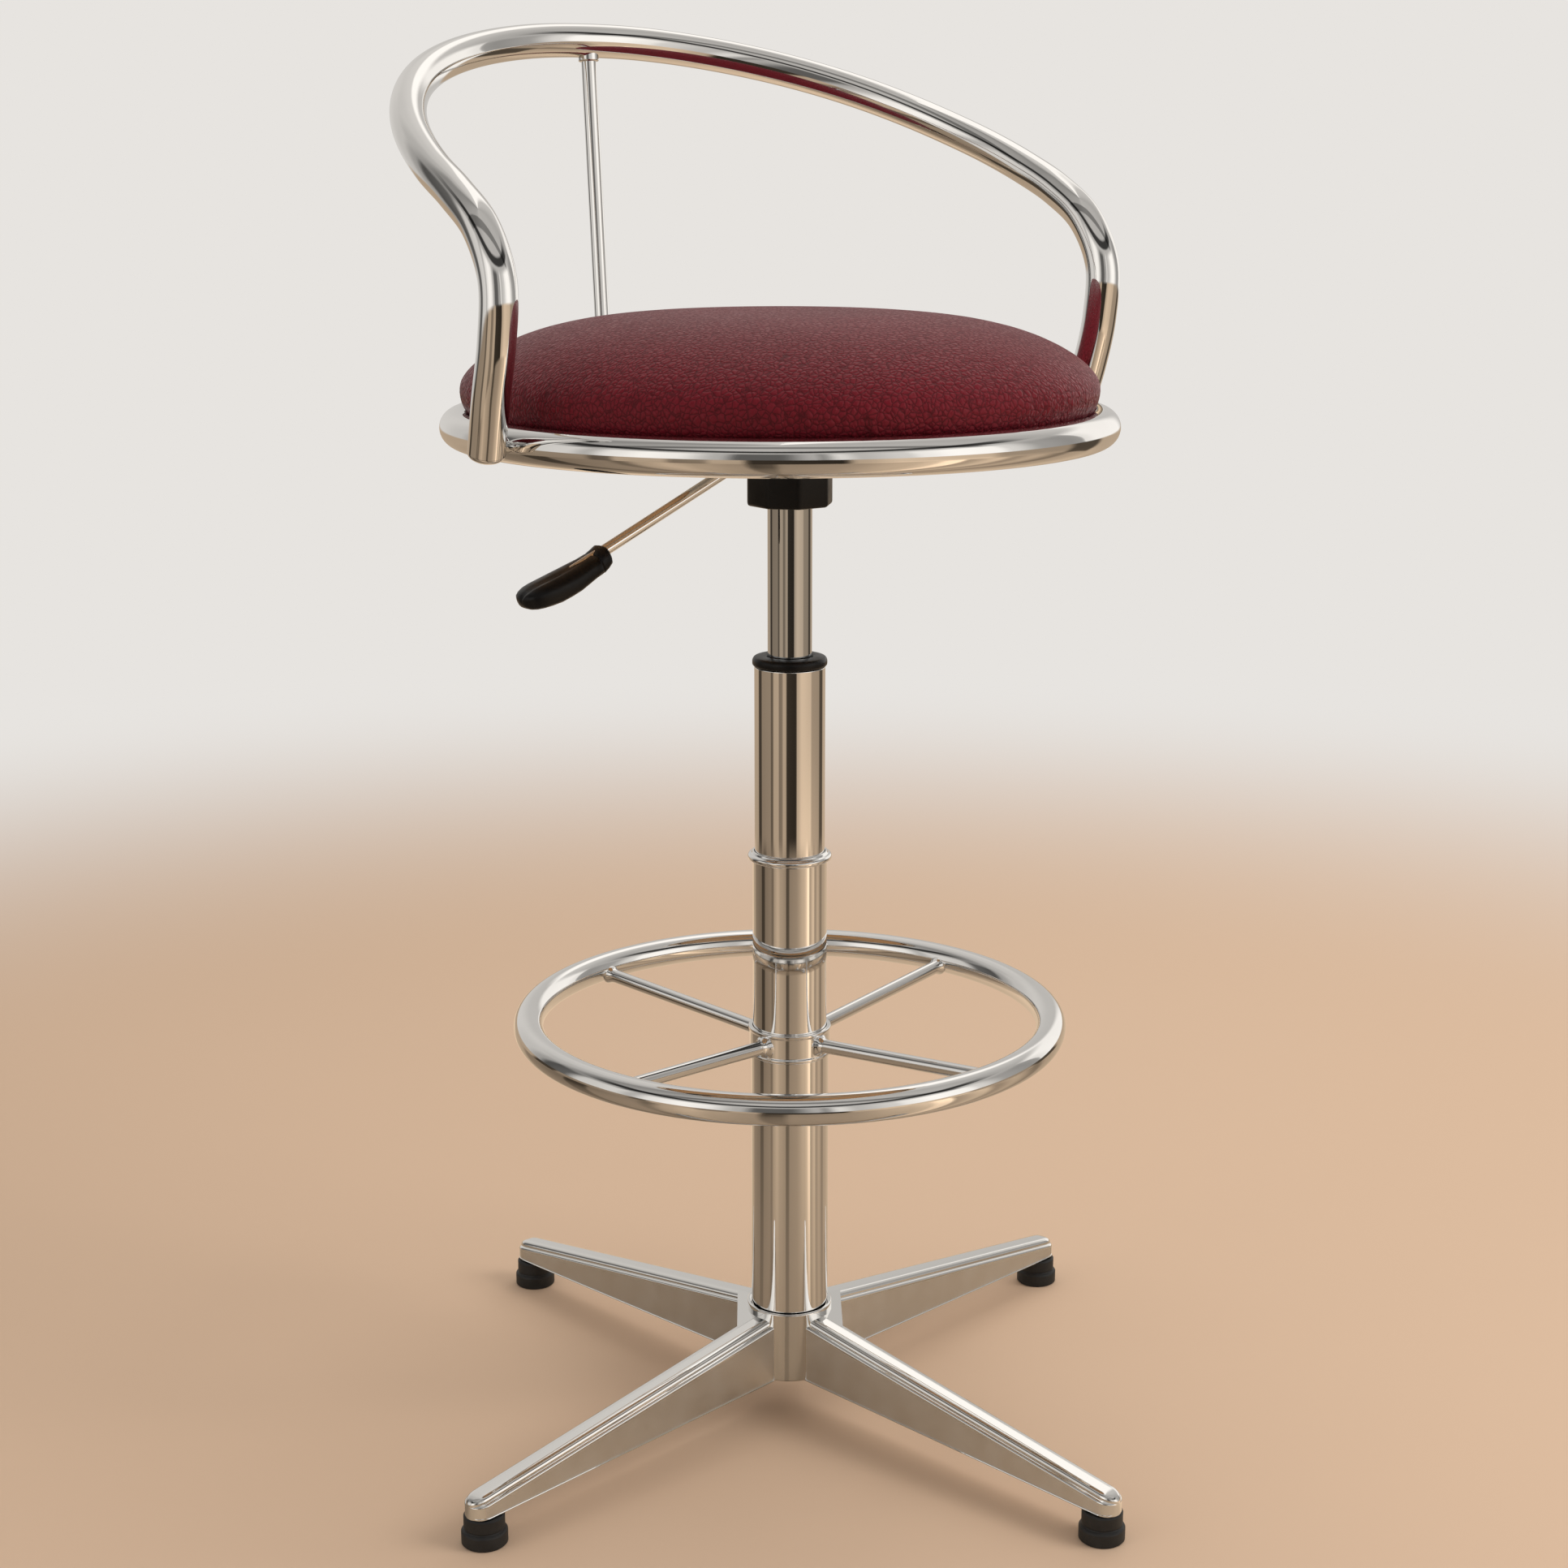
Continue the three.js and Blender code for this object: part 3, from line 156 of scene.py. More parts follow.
def layered(tree, share, first, second):
    """The shader between two, at a share."""
    return wired(tree, "ShaderNodeMixShader", {0: share, 1: first, 2: second}).outputs[0]


def tone_ramp(tree, value, tones):
    """A grey ramp whose stops are (place from 0 to 1, lightness)."""
    ramp = wired(tree, "ShaderNodeValToRGB", {"Fac": value})
    ramp.color_ramp.interpolation = "EASE"
    stops = ramp.color_ramp.elements
    while len(stops) > 1:
        stops.remove(stops[-1])
    stops[0].position, stops[0].color = tones[0][0], (tones[0][1],) * 3 + (1.0,)
    for place, tone in tones[1:]:
        stops.new(place).color = (tone, tone, tone, 1.0)
    return ramp.outputs["Color"]


def new_group(name, kind, inputs, output, output_kind):
    """A node group with its sockets: returns the group and its input node."""
    group = bpy.data.node_groups.new(name, kind)
    for socket, socket_kind in inputs.items():
        group.interface.new_socket(socket, in_out="INPUT", socket_type=socket_kind)
    group.interface.new_socket(output, in_out="OUTPUT", socket_type=output_kind)
    return group, group.nodes.new("NodeGroupInput")


def tones_by_bearing(name, tones):
    """A node group that gives the lightness of the room in the bearing of a place or direction."""
    group, given = new_group(name, "ShaderNodeTree", {"Place": "NodeSocketVector"}, "Lightness", "NodeSocketColor")
    parts = wired(group, "ShaderNodeSeparateXYZ", {0: given.outputs[0]})
    bearing = worked(group, "ARCTAN2", parts.outputs[1], parts.outputs[0])
    share = worked(group, "MULTIPLY_ADD", worked(group, "SUBTRACT", bearing, room_front), 1 / math.tau, 0.5)
    stops = [((degrees + 180) / 360, tone) for degrees, tone in tones]
    wired(group, "NodeGroupOutput", {0: tone_ramp(group, worked(group, "FRACT", share), stops)})
    return group


def toned(tree, tones_group, place):
    """The lightness that a group of tones gives for a place or direction."""
    return wired(tree, "ShaderNodeGroup", {0: place}, node_tree=tones_group).outputs[0]


walls_by_bearing = tones_by_bearing("Walls by bearing", wall_tones)
boards_by_bearing = tones_by_bearing("Boards by bearing", floor_tones)
far_boards_by_bearing = tones_by_bearing("Far boards by bearing", far_floor_tones)
ceiling_by_bearing = tones_by_bearing("Ceiling by bearing", ceiling_tones)

# The room: metal sees its walls and its banded ceiling, the camera a plain wall, the rest soft light.
scene.world = bpy.data.worlds.new("Room")
scene.world.use_nodes = True
sky = scene.world.node_tree
sky.nodes.clear()
sky_direction = wired(sky, "ShaderNodeTexCoord").outputs["Generated"]
sky_rise = wired(sky, "ShaderNodeSeparateXYZ", {0: sky_direction}).outputs[2]
sky_forward = wired(sky, "ShaderNodeVectorMath",
                    {0: sky_direction, 1: (math.cos(room_front), math.sin(room_front), 0.0)},
                    operation="DOT_PRODUCT").outputs["Value"]
sky_in_front = varied(sky, sky_forward, start=-0.35, end=0.05, easing="SMOOTHSTEP")
sky_trimmed = mixed(sky, sky_in_front, (1.0, 1.0, 1.0, 1.0), tone_ramp(sky, sky_rise, cornice_bands))
sky_beam = tone_ramp(sky, worked(sky, "DIVIDE", sky_forward, sky_rise), beam_bands)
sky_banded = product(sky, product(sky, toned(sky, ceiling_by_bearing, sky_direction), sky_trimmed), sky_beam)
sky_tone = mixed(sky, varied(sky, sky_rise, start=wall_end, end=ceiling_start, easing="SMOOTHSTEP"),
                 toned(sky, walls_by_bearing, sky_direction), sky_banded)
sky_metal, sky_soft, sky_wall = [
    wired(sky, "ShaderNodeBackground", {"Color": colour, "Strength": strength}).outputs[0]
    for colour, strength in ((product(sky, sky_tone, room_tint), 1.0), ((1.0, 0.985, 0.965, 1.0), 0.5),
                             (wall_colour, 1.0))
]
sky_rays = wired(sky, "ShaderNodeLightPath").outputs
sky_seen = layered(sky, sky_rays["Is Camera Ray"], layered(sky, sky_rays["Is Glossy Ray"], sky_soft, sky_metal),
                   sky_wall)
wired(sky, "ShaderNodeOutputWorld", {0: sky_seen})

# The floor: matte near the stool, then plain wall. Metal sees boards there and, far off, the walls.
floor_finish = bpy.data.materials.new("Studio floor")
floor_finish.use_nodes = True
ground = floor_finish.node_tree
ground.nodes.clear()
ground_place = wired(ground, "ShaderNodeNewGeometry").outputs["Position"]
ground_reach = wired(ground, "ShaderNodeVectorMath", {0: ground_place}, operation="LENGTH").outputs["Value"]
ground_fade = varied(ground, ground_reach, start=fade_start, end=fade_end, easing="SMOOTHERSTEP")
ground_is_far = varied(ground, ground_reach, start=far_floor_start, end=far_floor_end, easing="SMOOTHSTEP")
ground_at_wall = varied(ground, ground_reach, start=room_wall_start, end=room_wall_end, easing="SMOOTHSTEP")
ground_boards = mixed(ground, ground_is_far, toned(ground, boards_by_bearing, ground_place),
                      toned(ground, far_boards_by_bearing, ground_place))
ground_tone = mixed(ground, varied(ground, ground_reach, 0.45, 1.0, 0.1, 0.8), (0.38, 0.38, 0.38, 1.0), ground_boards)
ground_tinted = product(ground, ground_tone, boards_tint)
ground_dimmed = product(ground, ground_tinted, (0.85, 0.85, 0.85, 1.0))
ground_room = product(ground, toned(ground, walls_by_bearing, ground_place), room_tint)
ground_matte = wired(ground, "ShaderNodeBsdfDiffuse", {"Color": floor_colour}).outputs[0]
ground_wall = wired(ground, "ShaderNodeEmission", {"Color": wall_colour}).outputs[0]
ground_near = wired(ground, "ShaderNodeBsdfDiffuse", {"Color": ground_tinted}).outputs[0]
ground_far = wired(ground, "ShaderNodeEmission",
                   {"Color": mixed(ground, ground_at_wall, ground_dimmed, ground_room)}).outputs[0]
ground_rays = wired(ground, "ShaderNodeLightPath").outputs
ground_all = layered(ground, ground_rays["Is Glossy Ray"], layered(ground, ground_fade, ground_matte, ground_wall),
                     layered(ground, ground_fade, ground_near, ground_far))
wired(ground, "ShaderNodeOutputMaterial", {0: ground_all})

floor_mesh = bpy.data.meshes.new("Studio_floor")
floor_edge = 60.0
floor_mesh.from_pydata([(-floor_edge, -floor_edge, 0), (floor_edge, -floor_edge, 0), (floor_edge, floor_edge, 0),
                        (-floor_edge, floor_edge, 0)], [], [(0, 1, 2, 3)])
floor_mesh.materials.append(floor_finish)
floor = bpy.data.objects.new("Studio_floor", floor_mesh)
scene.collection.objects.link(floor)

for lamp_name, lamp in lamps.items():
    light = bpy.data.lights.new(lamp_name, "AREA")
    light.shape = "RECTANGLE"
    light.size, light.size_y = lamp["size"]
    light.energy = lamp["power"]
    light.color = lamp_colour
    holder = bpy.data.objects.new(lamp_name, light)
    holder.visible_glossy = False
    scene.collection.objects.link(holder)
    bearing, rise = math.radians(lamp["bearing"]), math.radians(lamp["rise"])
    away = Vector((math.cos(bearing) * math.cos(rise), math.sin(bearing) * math.cos(rise), math.sin(rise)))
    holder.location = away * lamp["distance"] + lamp_aim
    holder.rotation_euler = (-away).to_track_quat("-Z", "Y").to_euler()
scene.view_settings.view_transform = "Standard"


# Base casting: one aluminium casting with four legs. Each leg has a polished crown on top, satin
# bead-blasted flanks and a rounded tip. A web on each side stiffens the hub, which is bored for
# the pedestal. Cast, ground, then polished on the crown and the hub.
leg_count = 4
base_turn = math.radians(10.3)
leg_reach = 277 * mm
hub_underside = 25 * mm
tip_underside = 19.5 * mm
hub_crown, tip_crown = 71 * mm, 32.5 * mm
crown_half_widths = (11.75 * mm, 10.25 * mm)
flank_half_widths = (11.0 * mm, 9.5 * mm)
crown_depth = 6.2 * mm
# Half of the crown's section from its middle outwards: shares of its half width and of its depth.
# A flat top rolls over into a rounded shoulder, which stands on a thin lip.
crown_section = [
    (0.0, 0.0), (0.17, 0.0), (0.26, 0.006), (0.34, 0.02), (0.42, 0.044), (0.50, 0.082), (0.56, 0.13), (0.61, 0.19),
    (0.65, 0.265), (0.68, 0.35), (0.70, 0.44), (0.712, 0.53), (0.716, 0.60), (0.722, 0.63), (0.75, 0.645),
    (0.80, 0.66), (0.86, 0.69), (0.91, 0.745), (0.94, 0.82), (0.95, 0.90), (0.95, 1.0),
]
flank_lip = [(0.0, 0.0), (0.45, 0.15), (0.6, 0.6), (0.45, 1.05), (0.0, 1.25)]
hub_radius, hub_bore = 28.2 * mm, 25.7 * mm
hub_top, hub_floor = 72.5 * mm, 31 * mm
bolt_hole_radius = 5.3 * mm
mouth_depth, mouth_gap = 2.6 * mm, 0.9 * mm
web_reach, web_depth = 35 * mm, 9 * mm
web_turns, web_flat_share = (1, 3), 0.3
# How far a cutting tool reaches past the surface that it cuts.
overrun = 5 * mm


def finish_named(name):
    """A new material with one Principled shader: returns it, its tree, the shader and the place on a piece."""
    material = bpy.data.materials.new(name)
    material.use_nodes = True
    tree = material.node_tree
    tree.nodes.clear()
    shader = tree.nodes.new("ShaderNodeBsdfPrincipled")
    wired(tree, "ShaderNodeOutputMaterial", {0: shader.outputs[0]})
    return material, tree, shader, wired(tree, "ShaderNodeTexCoord").outputs["Object"]


def noise(tree, place, scale, detail, **more):
    """A cloudy value from 0 to 1."""
    return wired(tree, "ShaderNodeTexNoise", {"Vector": place, "Scale": scale, "Detail": detail, **more}).outputs[0]


def stretched(tree, place, *scale):
    return wired(tree, "ShaderNodeMapping", {"Vector": place, "Scale": scale}).outputs[0]


def bumped(tree, height, distance):
    """The normal of a surface raised by a height from 0 to 1 times the distance."""
    return wired(tree, "ShaderNodeBump", {"Height": height, "Distance": distance, "Strength": 1.0}).outputs[0]


# Polished aluminium: hand buffed, so its gloss wanders and it carries fine hairlines.
polished_aluminium, tree, shader, place = finish_named("Polished aluminium")
fed(tree, shader, {"Base Color": (0.83, 0.825, 0.81, 1.0), "Metallic": 1.0,
                   "Roughness": varied(tree, noise(tree, place, 45.0, 4.0), 0.02, 0.06),
                   "Normal": bumped(tree, noise(tree, place, 140.0, 2.0), 0.00004)})

# Satin aluminium: the same casting, bead blasted to a fine even grain.
satin_aluminium, tree, shader, place = finish_named("Satin aluminium")
clouds = noise(tree, place, 60.0, 3.0)
fed(tree, shader, {"Base Color": mixed(tree, clouds, (0.74, 0.695, 0.64, 1.0), (0.84, 0.80, 0.745, 1.0)),
                   "Metallic": 1.0, "Roughness": varied(tree, clouds, 0.38, 0.48),
                   "Normal": bumped(tree, noise(tree, place, 2600.0, 2.0), 0.00006)})


def in_mm(*points):
    """Points given in millimetres."""
    return [tuple(value * mm for value in point) for point in points]


def smoothed(mesh, crease):
    """Shades a mesh smooth but for edges over the crease angle, in degrees."""
    mesh.shade_smooth()
    mesh.set_sharp_from_angle(angle=math.radians(crease))


def shaped(name, verts, faces, finishes, crease=35.0, face_finish=None):
    """A closed mesh piece: doubles merged, faces outwards, smooth but for edges over the crease angle."""
    mesh = bpy.data.meshes.new(name)
    mesh.from_pydata([tuple(v) for v in verts], [], faces)
    for material in finishes if isinstance(finishes, list) else [finishes]:
        mesh.materials.append(material)
    if face_finish is not None:
        mesh.polygons.foreach_set("material_index", face_finish)
    work = bmesh.new()
    work.from_mesh(mesh)
    bmesh.ops.remove_doubles(work, verts=work.verts, dist=1e-6)
    bmesh.ops.recalc_face_normals(work, faces=work.faces)
    work.to_mesh(mesh)
    work.free()
    smoothed(mesh, crease)
    piece = bpy.data.objects.new(name, mesh)
    scene.collection.objects.link(piece)
    return piece


def lofted(rings, close_ends=True):
    """Vertices and faces of closed rings joined one to the next."""
    count = len(rings[0])
    verts = [p for ring in rings for p in ring]
    faces = []
    for r in range(len(rings) - 1):
        for k in range(count):
            n = (k + 1) % count
            faces.append((r * count + k, r * count + n, (r + 1) * count + n, (r + 1) * count + k))
    if close_ends:
        faces.append(tuple(range(count))[::-1])
        last = (len(rings) - 1) * count
        faces.append(tuple(last + k for k in range(count)))
    return verts, faces


def supported(profile, looped, guard=0.3 * mm, least=3 * mm):
    """The profile with a point close to both ends of each long stretch, so that it is shaded straight."""
    result = []
    for k, (here, after) in enumerate(zip(profile, [*profile[1:], profile[0]])):
        result.append(tuple(here))
        here, after = Vector(here), Vector(after)
        if (looped or k < len(profile) - 1) and (after - here).length > least:
            along = (after - here).normalized() * guard
            result += [tuple(here + along), tuple(after - along)]
    return result


def turned_mesh(profile, steps, looped):
    """Vertices and faces of a profile of (radius, height) turned about the column's axis."""
    rings = []
    for radius, height in supported(profile, looped):
        rings.append([(radius * math.cos(math.tau * k / steps), radius * math.sin(math.tau * k / steps), height)
                      for k in range(steps)])
    if looped:
        rings.append(rings[0])
    return lofted(rings, close_ends=False)


def turned_piece(name, profile, finishes, steps=128, looped=True, crease=35.0):
    return shaped(name, *turned_mesh(profile, steps, looped), finishes, crease)


def drill(name, radius, low, high, finishes, steps):
    """A plain cylinder on the column's axis, to cut a hole with."""
    return turned_piece(name, [(0, low), (radius, low), (radius, high), (0, high)], finishes, steps, looped=False)


def eased(profile, ease, points=4, looped=True):
    """The profile with each corner rounded to the given ease, which may be one number or one per corner."""
    eases = ease if hasattr(ease, "__len__") else [ease] * len(profile)
    result = []
    count = len(profile)
    for k, corner in enumerate(profile):
        corner = Vector(corner)
        if eases[k] <= 0 or (not looped and k in (0, count - 1)):
            result.append(tuple(corner))
            continue
        before, after = Vector(profile[k - 1]), Vector(profile[(k + 1) % count])
        reach = min(eases[k], (before - corner).length * 0.49, (after - corner).length * 0.49)
        start = corner + (before - corner).normalized() * reach
        end = corner + (after - corner).normalized() * reach
        for step in range(points + 1):
            t = step / points
            result.append(tuple(start * (1 - t) ** 2 + corner * 2 * t * (1 - t) + end * t * t))
    return result


def leg_ring(reach, width_scale, sink):
    share = reach / leg_reach
    crown_half = (crown_half_widths[0] * (1 - share) + crown_half_widths[1] * share) * width_scale
    flank_half = (flank_half_widths[0] * (1 - share) + flank_half_widths[1] * share) * width_scale
    top = hub_crown * (1 - share) + tip_crown * share
    under = hub_underside * (1 - share) + tip_underside * share
    half = [(flank_half - 1.0 * mm * width_scale, under)]
    half += [(flank_half + out * mm * width_scale, under + up * mm) for out, up in flank_lip]
    half += [(flank_half, top - crown_depth - 0.25 * mm), (flank_half, top - crown_depth)]
    half += [(crown_half * out, top - sink - (crown_depth - sink) * down) for out, down in reversed(crown_section)]
    return [(reach, side, height) for side, height in [*half, *[(-side, height) for side, height in half[-2::-1]]]]


tip_round = flank_half_widths[1]
leg_stations = [(leg_reach - tip_round) * k / 24 for k in range(25)]
tip_ring = len(leg_stations) + 1
leg_rings = [leg_ring(reach, 1.0, 0.0) for reach in leg_stations]
for degrees in (10, 20, 30, 40, 50, 60, 70, 78, 84, 90):
    swing = math.radians(degrees)
    leg_rings.append(leg_ring(leg_reach - tip_round * (1 - math.sin(swing)), max(math.cos(swing), 0.0),
                              crown_depth * 0.75 * (1 - math.cos(swing)) ** 1.15))
leg_verts, leg_faces = lofted(leg_rings)
ring_count = len(leg_rings[0])
# The flank between its lower lip and the crown is satin, and so is the underside.
flank_from, flank_to = len(flank_lip), len(flank_lip) + 1
leg_finish = []
for face in leg_faces:
    places = [min(v % ring_count, ring_count - 1 - v % ring_count) for v in face]
    around = [v % ring_count for v in face]
    under_leg = len(face) > 4 or (0 in around and ring_count - 1 in around)
    at_tip = len(face) == 4 and min(v // ring_count for v in face) >= tip_ring
    leg_finish.append(1 if under_leg or (set(places) == {flank_from, flank_to} and not at_tip) else 0)

casting_finishes = [polished_aluminium, satin_aluminium]
one_leg = shaped("one_leg", leg_verts, leg_faces, casting_finishes, face_finish=leg_finish)
hub_profile = eased([(0, hub_underside), (hub_radius, hub_underside), (hub_radius, hub_top), (0, hub_top)],
                    [0, 0.8 * mm, 0.9 * mm, 0], looped=False)
base_casting = turned_piece("base_casting", hub_profile, casting_finishes, looped=False)
hub_bore_tool = turned_piece("hub_bore_tool", [(0, hub_floor), (hub_bore, hub_floor), (hub_bore, hub_top - mouth_depth),
                                               (hub_bore + mouth_gap, hub_top - mouth_depth),
                                               (hub_bore + mouth_gap, hub_top + overrun), (0, hub_top + overrun)],
                             casting_finishes, looped=False)
bolt_hole_tool = drill("bolt_hole_tool", bolt_hole_radius, hub_underside - overrun, hub_floor + overrun,
                       casting_finishes, 32)
# The web's top is one plane, flush with the flat tops of the two legs that it joins.
crown_slope = (hub_crown - tip_crown) / leg_reach
flat_half = crown_half_widths[0] * web_flat_share
web_outer = web_reach * math.sqrt(2)
web_plan = [(flat_half, flat_half), (web_outer - flat_half, flat_half), (flat_half, web_outer - flat_half)]


def web_height(x, y):
    return hub_crown + crown_slope * (flat_half - x - y)


one_web = shaped("one_web", *lofted([[(x, y, web_height(x, y) - web_depth) for x, y in web_plan],
                                     [(x, y, web_height(x, y)) for x, y in web_plan]]), casting_finishes)


def applied(piece):
    """Turns what the piece's modifiers make into its own mesh."""
    bpy.context.view_layer.update()
    mesh = bpy.data.meshes.new_from_object(piece.evaluated_get(bpy.context.evaluated_depsgraph_get()))
    piece.modifiers.clear()
    piece.data = mesh


def combined(target, tool, operation):
    """Joins the tool to the target, or cuts it out of it, and removes the tool."""
    change = target.modifiers.new("Change", "BOOLEAN")
    change.operation = operation
    change.solver = "EXACT"
    change.object = tool
    applied(target)
    bpy.data.objects.remove(tool)


for form, quarter_turns in ((one_leg, range(leg_count)), (one_web, web_turns)):
    for k in quarter_turns:
        form_copy = bpy.data.objects.new(f"{form.name}_{k}", form.data.copy())
        scene.collection.objects.link(form_copy)
        form_copy.data.transform(Matrix.Rotation(math.tau * k / leg_count, 4, "Z"))
        combined(base_casting, form_copy, "UNION")
    bpy.data.objects.remove(form)
combined(base_casting, hub_bore_tool, "DIFFERENCE")
combined(base_casting, bolt_hole_tool, "DIFFERENCE")
base_casting.data.transform(Matrix.Rotation(base_turn, 4, "Z"))
smoothed(base_casting.data, 32)
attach(base_casting, "base")
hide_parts("base_star")


# Glides: four moulded rubber feet, each a wide pad with a narrower neck under the leg's tip, on a
# stud pressed into the casting. Made once and set round the column.
glide_reach = 265 * mm
glide_profile = in_mm((0, 0), (13.4, 0), (14.2, 0.9), (14.2, 8.2), (13.5, 9.3), (12.5, 9.8), (12.2, 10.4),
                      (12.6, 11.2), (12.6, 18.2), (11.8, 19.2), (4, 19.2), (4, 27), (3.5, 27.5), (0, 27.5))

# Rubber: black and dull, with a fine moulded grain and faint paler patches of wear.
glide_rubber, tree, shader, place = finish_named("Glide rubber")
dust = noise(tree, place, 120.0, 5.0)
fed(tree, shader, {"Base Color": mixed(tree, varied(tree, dust, 0.0, 1.0, 0.4, 0.8), (0.010, 0.010, 0.0105, 1.0),
                                       (0.022, 0.021, 0.020, 1.0)),
                   "Roughness": varied(tree, dust, 0.42, 0.6),
                   "Normal": bumped(tree, noise(tree, place, 900.0, 3.0), 0.00008)})


def made_real(layout, given, geometry):
    """Ends a layout: its geometry as plain faces in the given finish."""
    real = wired(layout, "GeometryNodeRealizeInstances", {0: geometry})
    coloured = wired(layout, "GeometryNodeSetMaterial", {0: real.outputs[0], "Material": given.outputs["Finish"]})
    wired(layout, "NodeGroupOutput", {0: coloured.outputs[0]})


def copied(layout, given, points, **more):
    """Ends a layout with a copy of its piece at each of the points."""
    piece = wired(layout, "GeometryNodeObjectInfo", {"Object": given.outputs["Piece"]})
    copies = wired(layout, "GeometryNodeInstanceOnPoints",
                   {"Points": points, "Instance": piece.outputs["Geometry"], **more})
    made_real(layout, given, copies.outputs[0])


# A layout that sets copies of one piece round the column, each turned to face it.
around_column, given = new_group("Copies round the column", "GeometryNodeTree",
                                 {"Piece": "NodeSocketObject", "Count": "NodeSocketInt",
                                  "First turn": "NodeSocketFloat", "Finish": "NodeSocketMaterial"},
                                 "Geometry", "NodeSocketGeometry")
points = wired(around_column, "GeometryNodePoints", {"Count": given.outputs["Count"]})
step = worked(around_column, "DIVIDE", math.tau, given.outputs["Count"])
index = wired(around_column, "GeometryNodeInputIndex")
angle = worked(around_column, "MULTIPLY_ADD", index.outputs[0], step, given.outputs["First turn"])
turn = wired(around_column, "ShaderNodeCombineXYZ", {"Z": angle})
copied(around_column, given, points.outputs[0], Rotation=turn.outputs[0])


def laid_out(name, layout, crease=35.0, **inputs):
    """A plain mesh piece made by a node layout with the given inputs."""
    piece = bpy.data.objects.new(name, bpy.data.meshes.new(name))
    scene.collection.objects.link(piece)
    maker = piece.modifiers.new("Layout", "NODES")
    maker.node_group = layout
    for item in layout.interface.items_tree:
        if item.in_out == "INPUT" and item.name in inputs:
            maker[item.identifier] = inputs[item.name]
    applied(piece)
    smoothed(piece.data, crease)
    return piece


glide_verts, glide_faces = turned_mesh(glide_profile, 56, looped=False)
one_glide = shaped("one_glide", [(x + glide_reach, y, z) for x, y, z in glide_verts], glide_faces, glide_rubber)
glides = laid_out("glides", around_column, **{"Piece": one_glide, "Count": leg_count, "First turn": base_turn,
                                              "Finish": glide_rubber})
bpy.data.objects.remove(one_glide)
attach(glides, "base")
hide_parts("glide_1", "glide_2", "glide_3", "glide_4")


# Pedestal fixing and the bearing inside the column: zinc-plated steel. The plug, washer and bolt
# draw the column down into the casting; the races, cage, rod and clip carry the gas lift.
fastener_steel, tree, shader, place = finish_named("Zinc-plated steel")
spangle = wired(tree, "ShaderNodeTexVoronoi", {"Vector": place, "Scale": 260.0}).outputs["Distance"]
marks = noise(tree, place, 420.0, 6.0)
fed(tree, shader, {"Base Color": mixed(tree, spangle, (0.46, 0.47, 0.47, 1.0), (0.60, 0.60, 0.57, 1.0)),
                   "Metallic": 1.0, "Roughness": varied(tree, marks, 0.26, 0.44),
                   "Normal": bumped(tree, marks, 0.00004)})


def refinished(material, *names):
    """Gives CAD pieces whose shape is right a better finish."""
    for name in names:
        mesh = nodes[name].data
        mesh.materials.clear()
        mesh.materials.append(material)
        mesh.polygons.foreach_set("material_index", [0] * len(mesh.polygons))


refinished(fastener_steel, "pedestal_plug", "base_washer", "base_bolt", "set_screw_1", "set_screw_2",
           "bearing_race_lower", "bearing_race_upper", "bearing_ball_cage", "piston_rod", "piston", "rod_clip",
           "release_pin", "column_socket", "lever_pivot_pin")
refinished(glide_rubber, "bump_stop")


# Column: three nested steel tubes, bright chrome plated over a drawn tube, so faint lines run
# along them. The lower tube stands in the casting, the others are pressed into the one below.
lower_tube_span = (31.3 * mm, 247 * mm)
middle_tube_span = (190 * mm, 378 * mm)
stand_tube_span = (240 * mm, 504 * mm)
lower_tube_radii = (25.4 * mm, 24.3 * mm)
middle_tube_radii = (24.0 * mm, 22.8 * mm)
stand_tube_radii = (22.5 * mm, 21.0 * mm)
stand_tube_bore, stand_tube_floor = 4.3 * mm, 6 * mm
tube_edge = 0.45 * mm

# Chrome plate: mirror bright, with drifting gloss, a trace of wear and very faint polishing marks.
chrome, tree, shader, place = finish_named("Chrome plate")
breath = noise(tree, place, 26.0, 5.0, Roughness=0.6)
fed(tree, shader, {"Base Color": mixed(tree, breath, (0.79, 0.785, 0.775, 1.0), (0.86, 0.855, 0.845, 1.0)),
                   "Metallic": 1.0, "Roughness": varied(tree, breath, 0.012, 0.035),
                   "Normal": bumped(tree, noise(tree, place, 700.0, 3.0), 0.000003)})


def lined_chrome(name, colour, breath_scale, line_scale, line_rise):
    """Chrome plate over faint lengthwise lines."""
    material, tree, shader, place = finish_named(name)
    lines = noise(tree, stretched(tree, place, 1.0, 1.0, 0.012), line_scale, 3.0)
    fed(tree, shader, {"Base Color": colour, "Metallic": 1.0,
                       "Roughness": varied(tree, noise(tree, place, breath_scale, 4.0), 0.014, 0.04),
                       "Normal": bumped(tree, lines, line_rise)})
    return material


drawn_chrome = lined_chrome("Chrome on drawn tube", (0.84, 0.83, 0.815, 1.0), 22.0, 900.0, 0.000004)

for name, (outer, inner), (low, high) in (("lower_tube", lower_tube_radii, lower_tube_span),
                                          ("middle_tube", middle_tube_radii, middle_tube_span)):
    tube_profile = eased([(outer, low), (outer, high), (inner, high), (inner, low)], tube_edge)
    tube = turned_piece(name + "_plated", tube_profile, drawn_chrome)
    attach(tube, "base")
    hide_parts(name)

(outer, inner), (low, high) = stand_tube_radii, stand_tube_span
stand_profile = eased([(stand_tube_bore, low), (outer, low), (outer, high), (inner, high),
                       (inner, low + stand_tube_floor), (stand_tube_bore, low + stand_tube_floor)],
                      [0, tube_edge, tube_edge, tube_edge, 0, 0])
stand_tube = turned_piece("stand_tube_plated", stand_profile, drawn_chrome)
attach(stand_tube, "base")
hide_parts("stand_tube")


